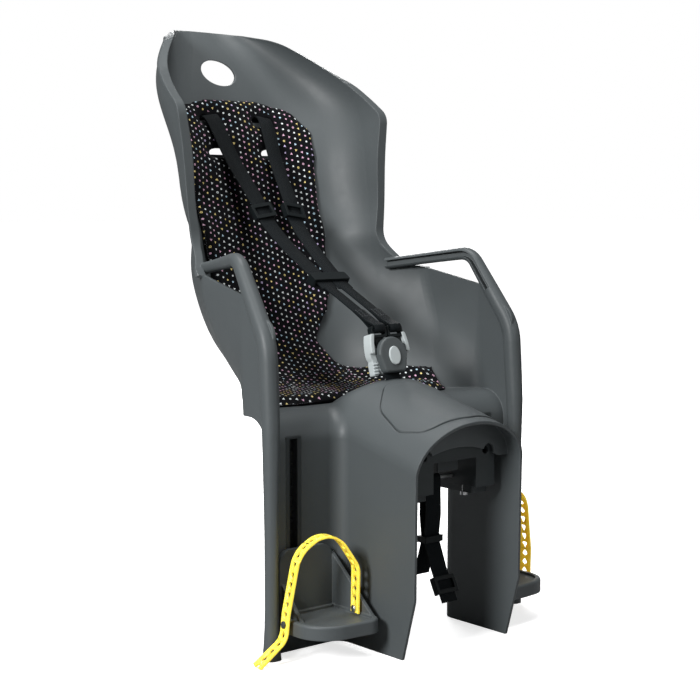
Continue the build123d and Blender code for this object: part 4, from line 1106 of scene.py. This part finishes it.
        # The back part's face is found from the front, the seat part's from above
        casts = (
            (self.back_line, lambda x, z: (Vector((x, 0.2, z)), Vector((0.0, 1.0, 0.0)))),
            (self.seat_line, lambda x, y: (Vector((x, y, 0.1)), Vector((0.0, 0.0, -1.0)))),
        )
        rows = []
        for half, cast in casts:
            row = []
            for spot in self.offset(half):
                place, normal = surface.ray_cast(*cast(*spot))[:2]
                if place is not None and self.from_edge(np.array([place]))[0] < self.seam_most:
                    row.append(place + normal * self.seam_lift)
                elif row:
                    rows.append(row)
                    row = []
            rows.append(row)
        return [row for row in rows if len(row) > 3]

    def offset(self, half):
        """Points along an outline, moved inside it by the seam's inset."""
        ring = [Vector(spot) for spot in half] + [Vector((-x, y)) for x, y in reversed(half)]
        middle = sum(ring, Vector((0.0, 0.0))) / len(ring)
        moved = []
        for before, spot, after in zip(ring[-1:] + ring[:-1], ring, ring[1:] + ring[:1]):
            first, second = (spot - before).normalized(), (after - spot).normalized()
            inward = Vector((first.y + second.y, -first.x - second.x)).normalized()
            inward *= 1.0 if inward.dot(middle - spot) > 0.0 else -1.0
            moved.append(spot + inward * self.seam_inset / max(0.5, abs(first.cross(inward))))
        closed = [spot.to_3d() for spot in moved + moved[:2]]
        return [(spot.x, spot.y) for spot in smooth_path(closed, 14)]


class BIKESEAT_OT_harness(bpy.types.Operator):
    """Webbing of the harness and the short strap under the buckle."""

    bl_idname = "bikeseat.harness"
    bl_label = "Harness"

    # Turn of the webbing round the tongue's bar, from the tongue's rear top corner: back, up
    tongue_turn = (
        (0.031, 0.0158), (0.0018, -0.0029), (-0.0005, -0.0093), (-0.0109, -0.0065),
        (-0.0098, 0.0003), (-0.0058, 0.0018), (0.0078, 0.0062), (0.031, 0.0179),
    )
    # Lean of the webbing at its slot, and half the straight length in a slider
    slot_lean = 0.146
    slider_half = 0.02
    # Box of stitches where the turn ends: places across and along, and the lift off the webbing
    seam_across = (-0.0065, 0.0, 0.0065)
    seam_along = (0.35, 0.6, 0.9)
    seam_lift = 0.0012

    def execute(self, context):
        cloth = context.scene.bikeseat_cloth
        material = webbing("harness_webbing", cloth.webbing)
        for side, way in SIDES.items():
            self.shoulder(side, way, cloth, material)
        self.crotch(cloth, material)
        return {"FINISHED"}

    def shoulder(self, side, way, cloth, material):
        """One strap from its slot through the slider to the keeper, and on round the tongue's bar."""
        slot = centre(f"strap_anchor_{side}")
        slider = centre(f"strap_slider_{side}")
        keeper = centre("strap_keeper")
        keeper.x = centre(f"buckle_tongue_{side}").x
        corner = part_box(f"buckle_tongue_{side}")[1]
        mouth = slot + Vector((-0.0004 * way, -0.0215, -0.005))
        straight = (mouth - slider).normalized() * self.slider_half
        upper = [
            slot + Vector((0.0, -0.0035, -0.001)),
            mouth,
            slider.lerp(mouth, 0.55) + Vector((0.0, 0.003, -0.002)),
            slider + straight,
            slider - straight,
            keeper + Vector((0.006 * way, 0.055, 0.038)),
            keeper + Vector((0.0, -0.001, 0.001)),
            keeper + Vector((0.0, -0.02, -0.011)),
        ]
        turn = [Vector((keeper.x, corner.y + back, corner.z + up)) for back, up in self.tongue_turn]
        lower = [
            keeper + Vector((0.0, 0.012, 0.0045)),
            keeper + Vector((0.0, -0.002, -0.0018)),
            *turn,
        ]

        def lean(t):
            return (1.0, 0.0, -self.slot_lean * way * (1 - t))

        mesh = bmesh.new()
        strip(mesh, smooth_path(upper, 12), lean, cloth.web_width, cloth.web_thick)
        strip(mesh, smooth_path(lower, 8), level, cloth.lower_width, cloth.web_thick)
        strap = finished(f"shoulder_webbing_{side}", mesh, material)
        stands_for(strap, f"shoulder_strap_{side}")

        def spot(x, t):
            return turn[-2].lerp(turn[-1], t) + Vector((x, 0.0, self.seam_lift))

        rows = [[spot(x, t) for t in self.seam_along] for x in self.seam_across]
        rows += [[spot(x, t) for x in self.seam_across] for t in self.seam_along[::2]]
        seam = stitches(f"shoulder_seam_{side}", rows, cloth.stitch, bpy.data.materials["pad_thread"])

    def crotch(self, cloth, material):
        """Short strap from under the shell up into the buckle."""
        low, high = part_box("crotch_strap")
        path = smooth_path([(0.0, spot.y, spot.z) for spot in (low, (low + high) / 2, high)])
        mesh = bmesh.new()
        strip(mesh, path, level, cloth.web_width, cloth.web_thick)
        stands_for(finished("crotch_webbing", mesh, material), "crotch_strap")


class BIKESEAT_OT_safety(bpy.types.Operator):
    """Webbing of the safety strap below the adapter."""

    bl_idname = "bikeseat.safety"
    bl_label = "Safety strap"

    def execute(self, context):
        material = webbing("safety_webbing", context.scene.bikeseat_cloth.webbing)
        strap = merged_copy("safety_strap", "safety_webbing", material)
        lay_chart(strap.data, points(strap.data)[0][:, (0, 2)])
        stands_for(strap, "safety_strap")
        return {"FINISHED"}


class BIKESEAT_PT_panel(bpy.types.Panel):
    """Pieces of the bike seat, in the order they are made."""

    bl_idname = "BIKESEAT_PT_panel"
    bl_label = "Bike seat"
    bl_space_type = "VIEW_3D"
    bl_region_type = "UI"
    bl_category = "Bike seat"

    def draw(self, context):
        for operator in OPERATORS:
            self.layout.operator(operator.bl_idname)
        for group in PROPERTIES:
            settings = getattr(context.scene, group)
            for name in settings.bl_rna.properties.keys():
                if name not in ("rna_type", "name"):
                    self.layout.prop(settings, name)


PROPERTIES = {
    "bikeseat_plastic": PlasticFinish,
    "bikeseat_cloth": ClothFinish,
    "bikeseat_strap": StrapFinish,
    "bikeseat_stage": StageSettings,
}
OPERATORS = (
    BIKESEAT_OT_stage,
    BIKESEAT_OT_mouldings,
    BIKESEAT_OT_foot_straps,
    BIKESEAT_OT_pad,
    BIKESEAT_OT_harness,
    BIKESEAT_OT_safety,
)


def register():
    """Register the classes and the settings on the scene."""
    for kind in (*PROPERTIES.values(), *OPERATORS, BIKESEAT_PT_panel):
        bpy.utils.register_class(kind)
    for name, kind in PROPERTIES.items():
        setattr(bpy.types.Scene, name, bpy.props.PointerProperty(type=kind))


def unregister():
    """Take the settings and classes away again."""
    for name in PROPERTIES:
        delattr(bpy.types.Scene, name)
    for kind in (BIKESEAT_PT_panel, *reversed(OPERATORS), *PROPERTIES.values()):
        bpy.utils.unregister_class(kind)


def main():
    """Make every piece in order."""
    register()
    bpy.ops.bikeseat.stage()
    bpy.ops.bikeseat.mouldings()
    bpy.ops.bikeseat.foot_straps()
    bpy.ops.bikeseat.pad()
    bpy.ops.bikeseat.harness()
    bpy.ops.bikeseat.safety()


if __name__ == "__main__":
    main()
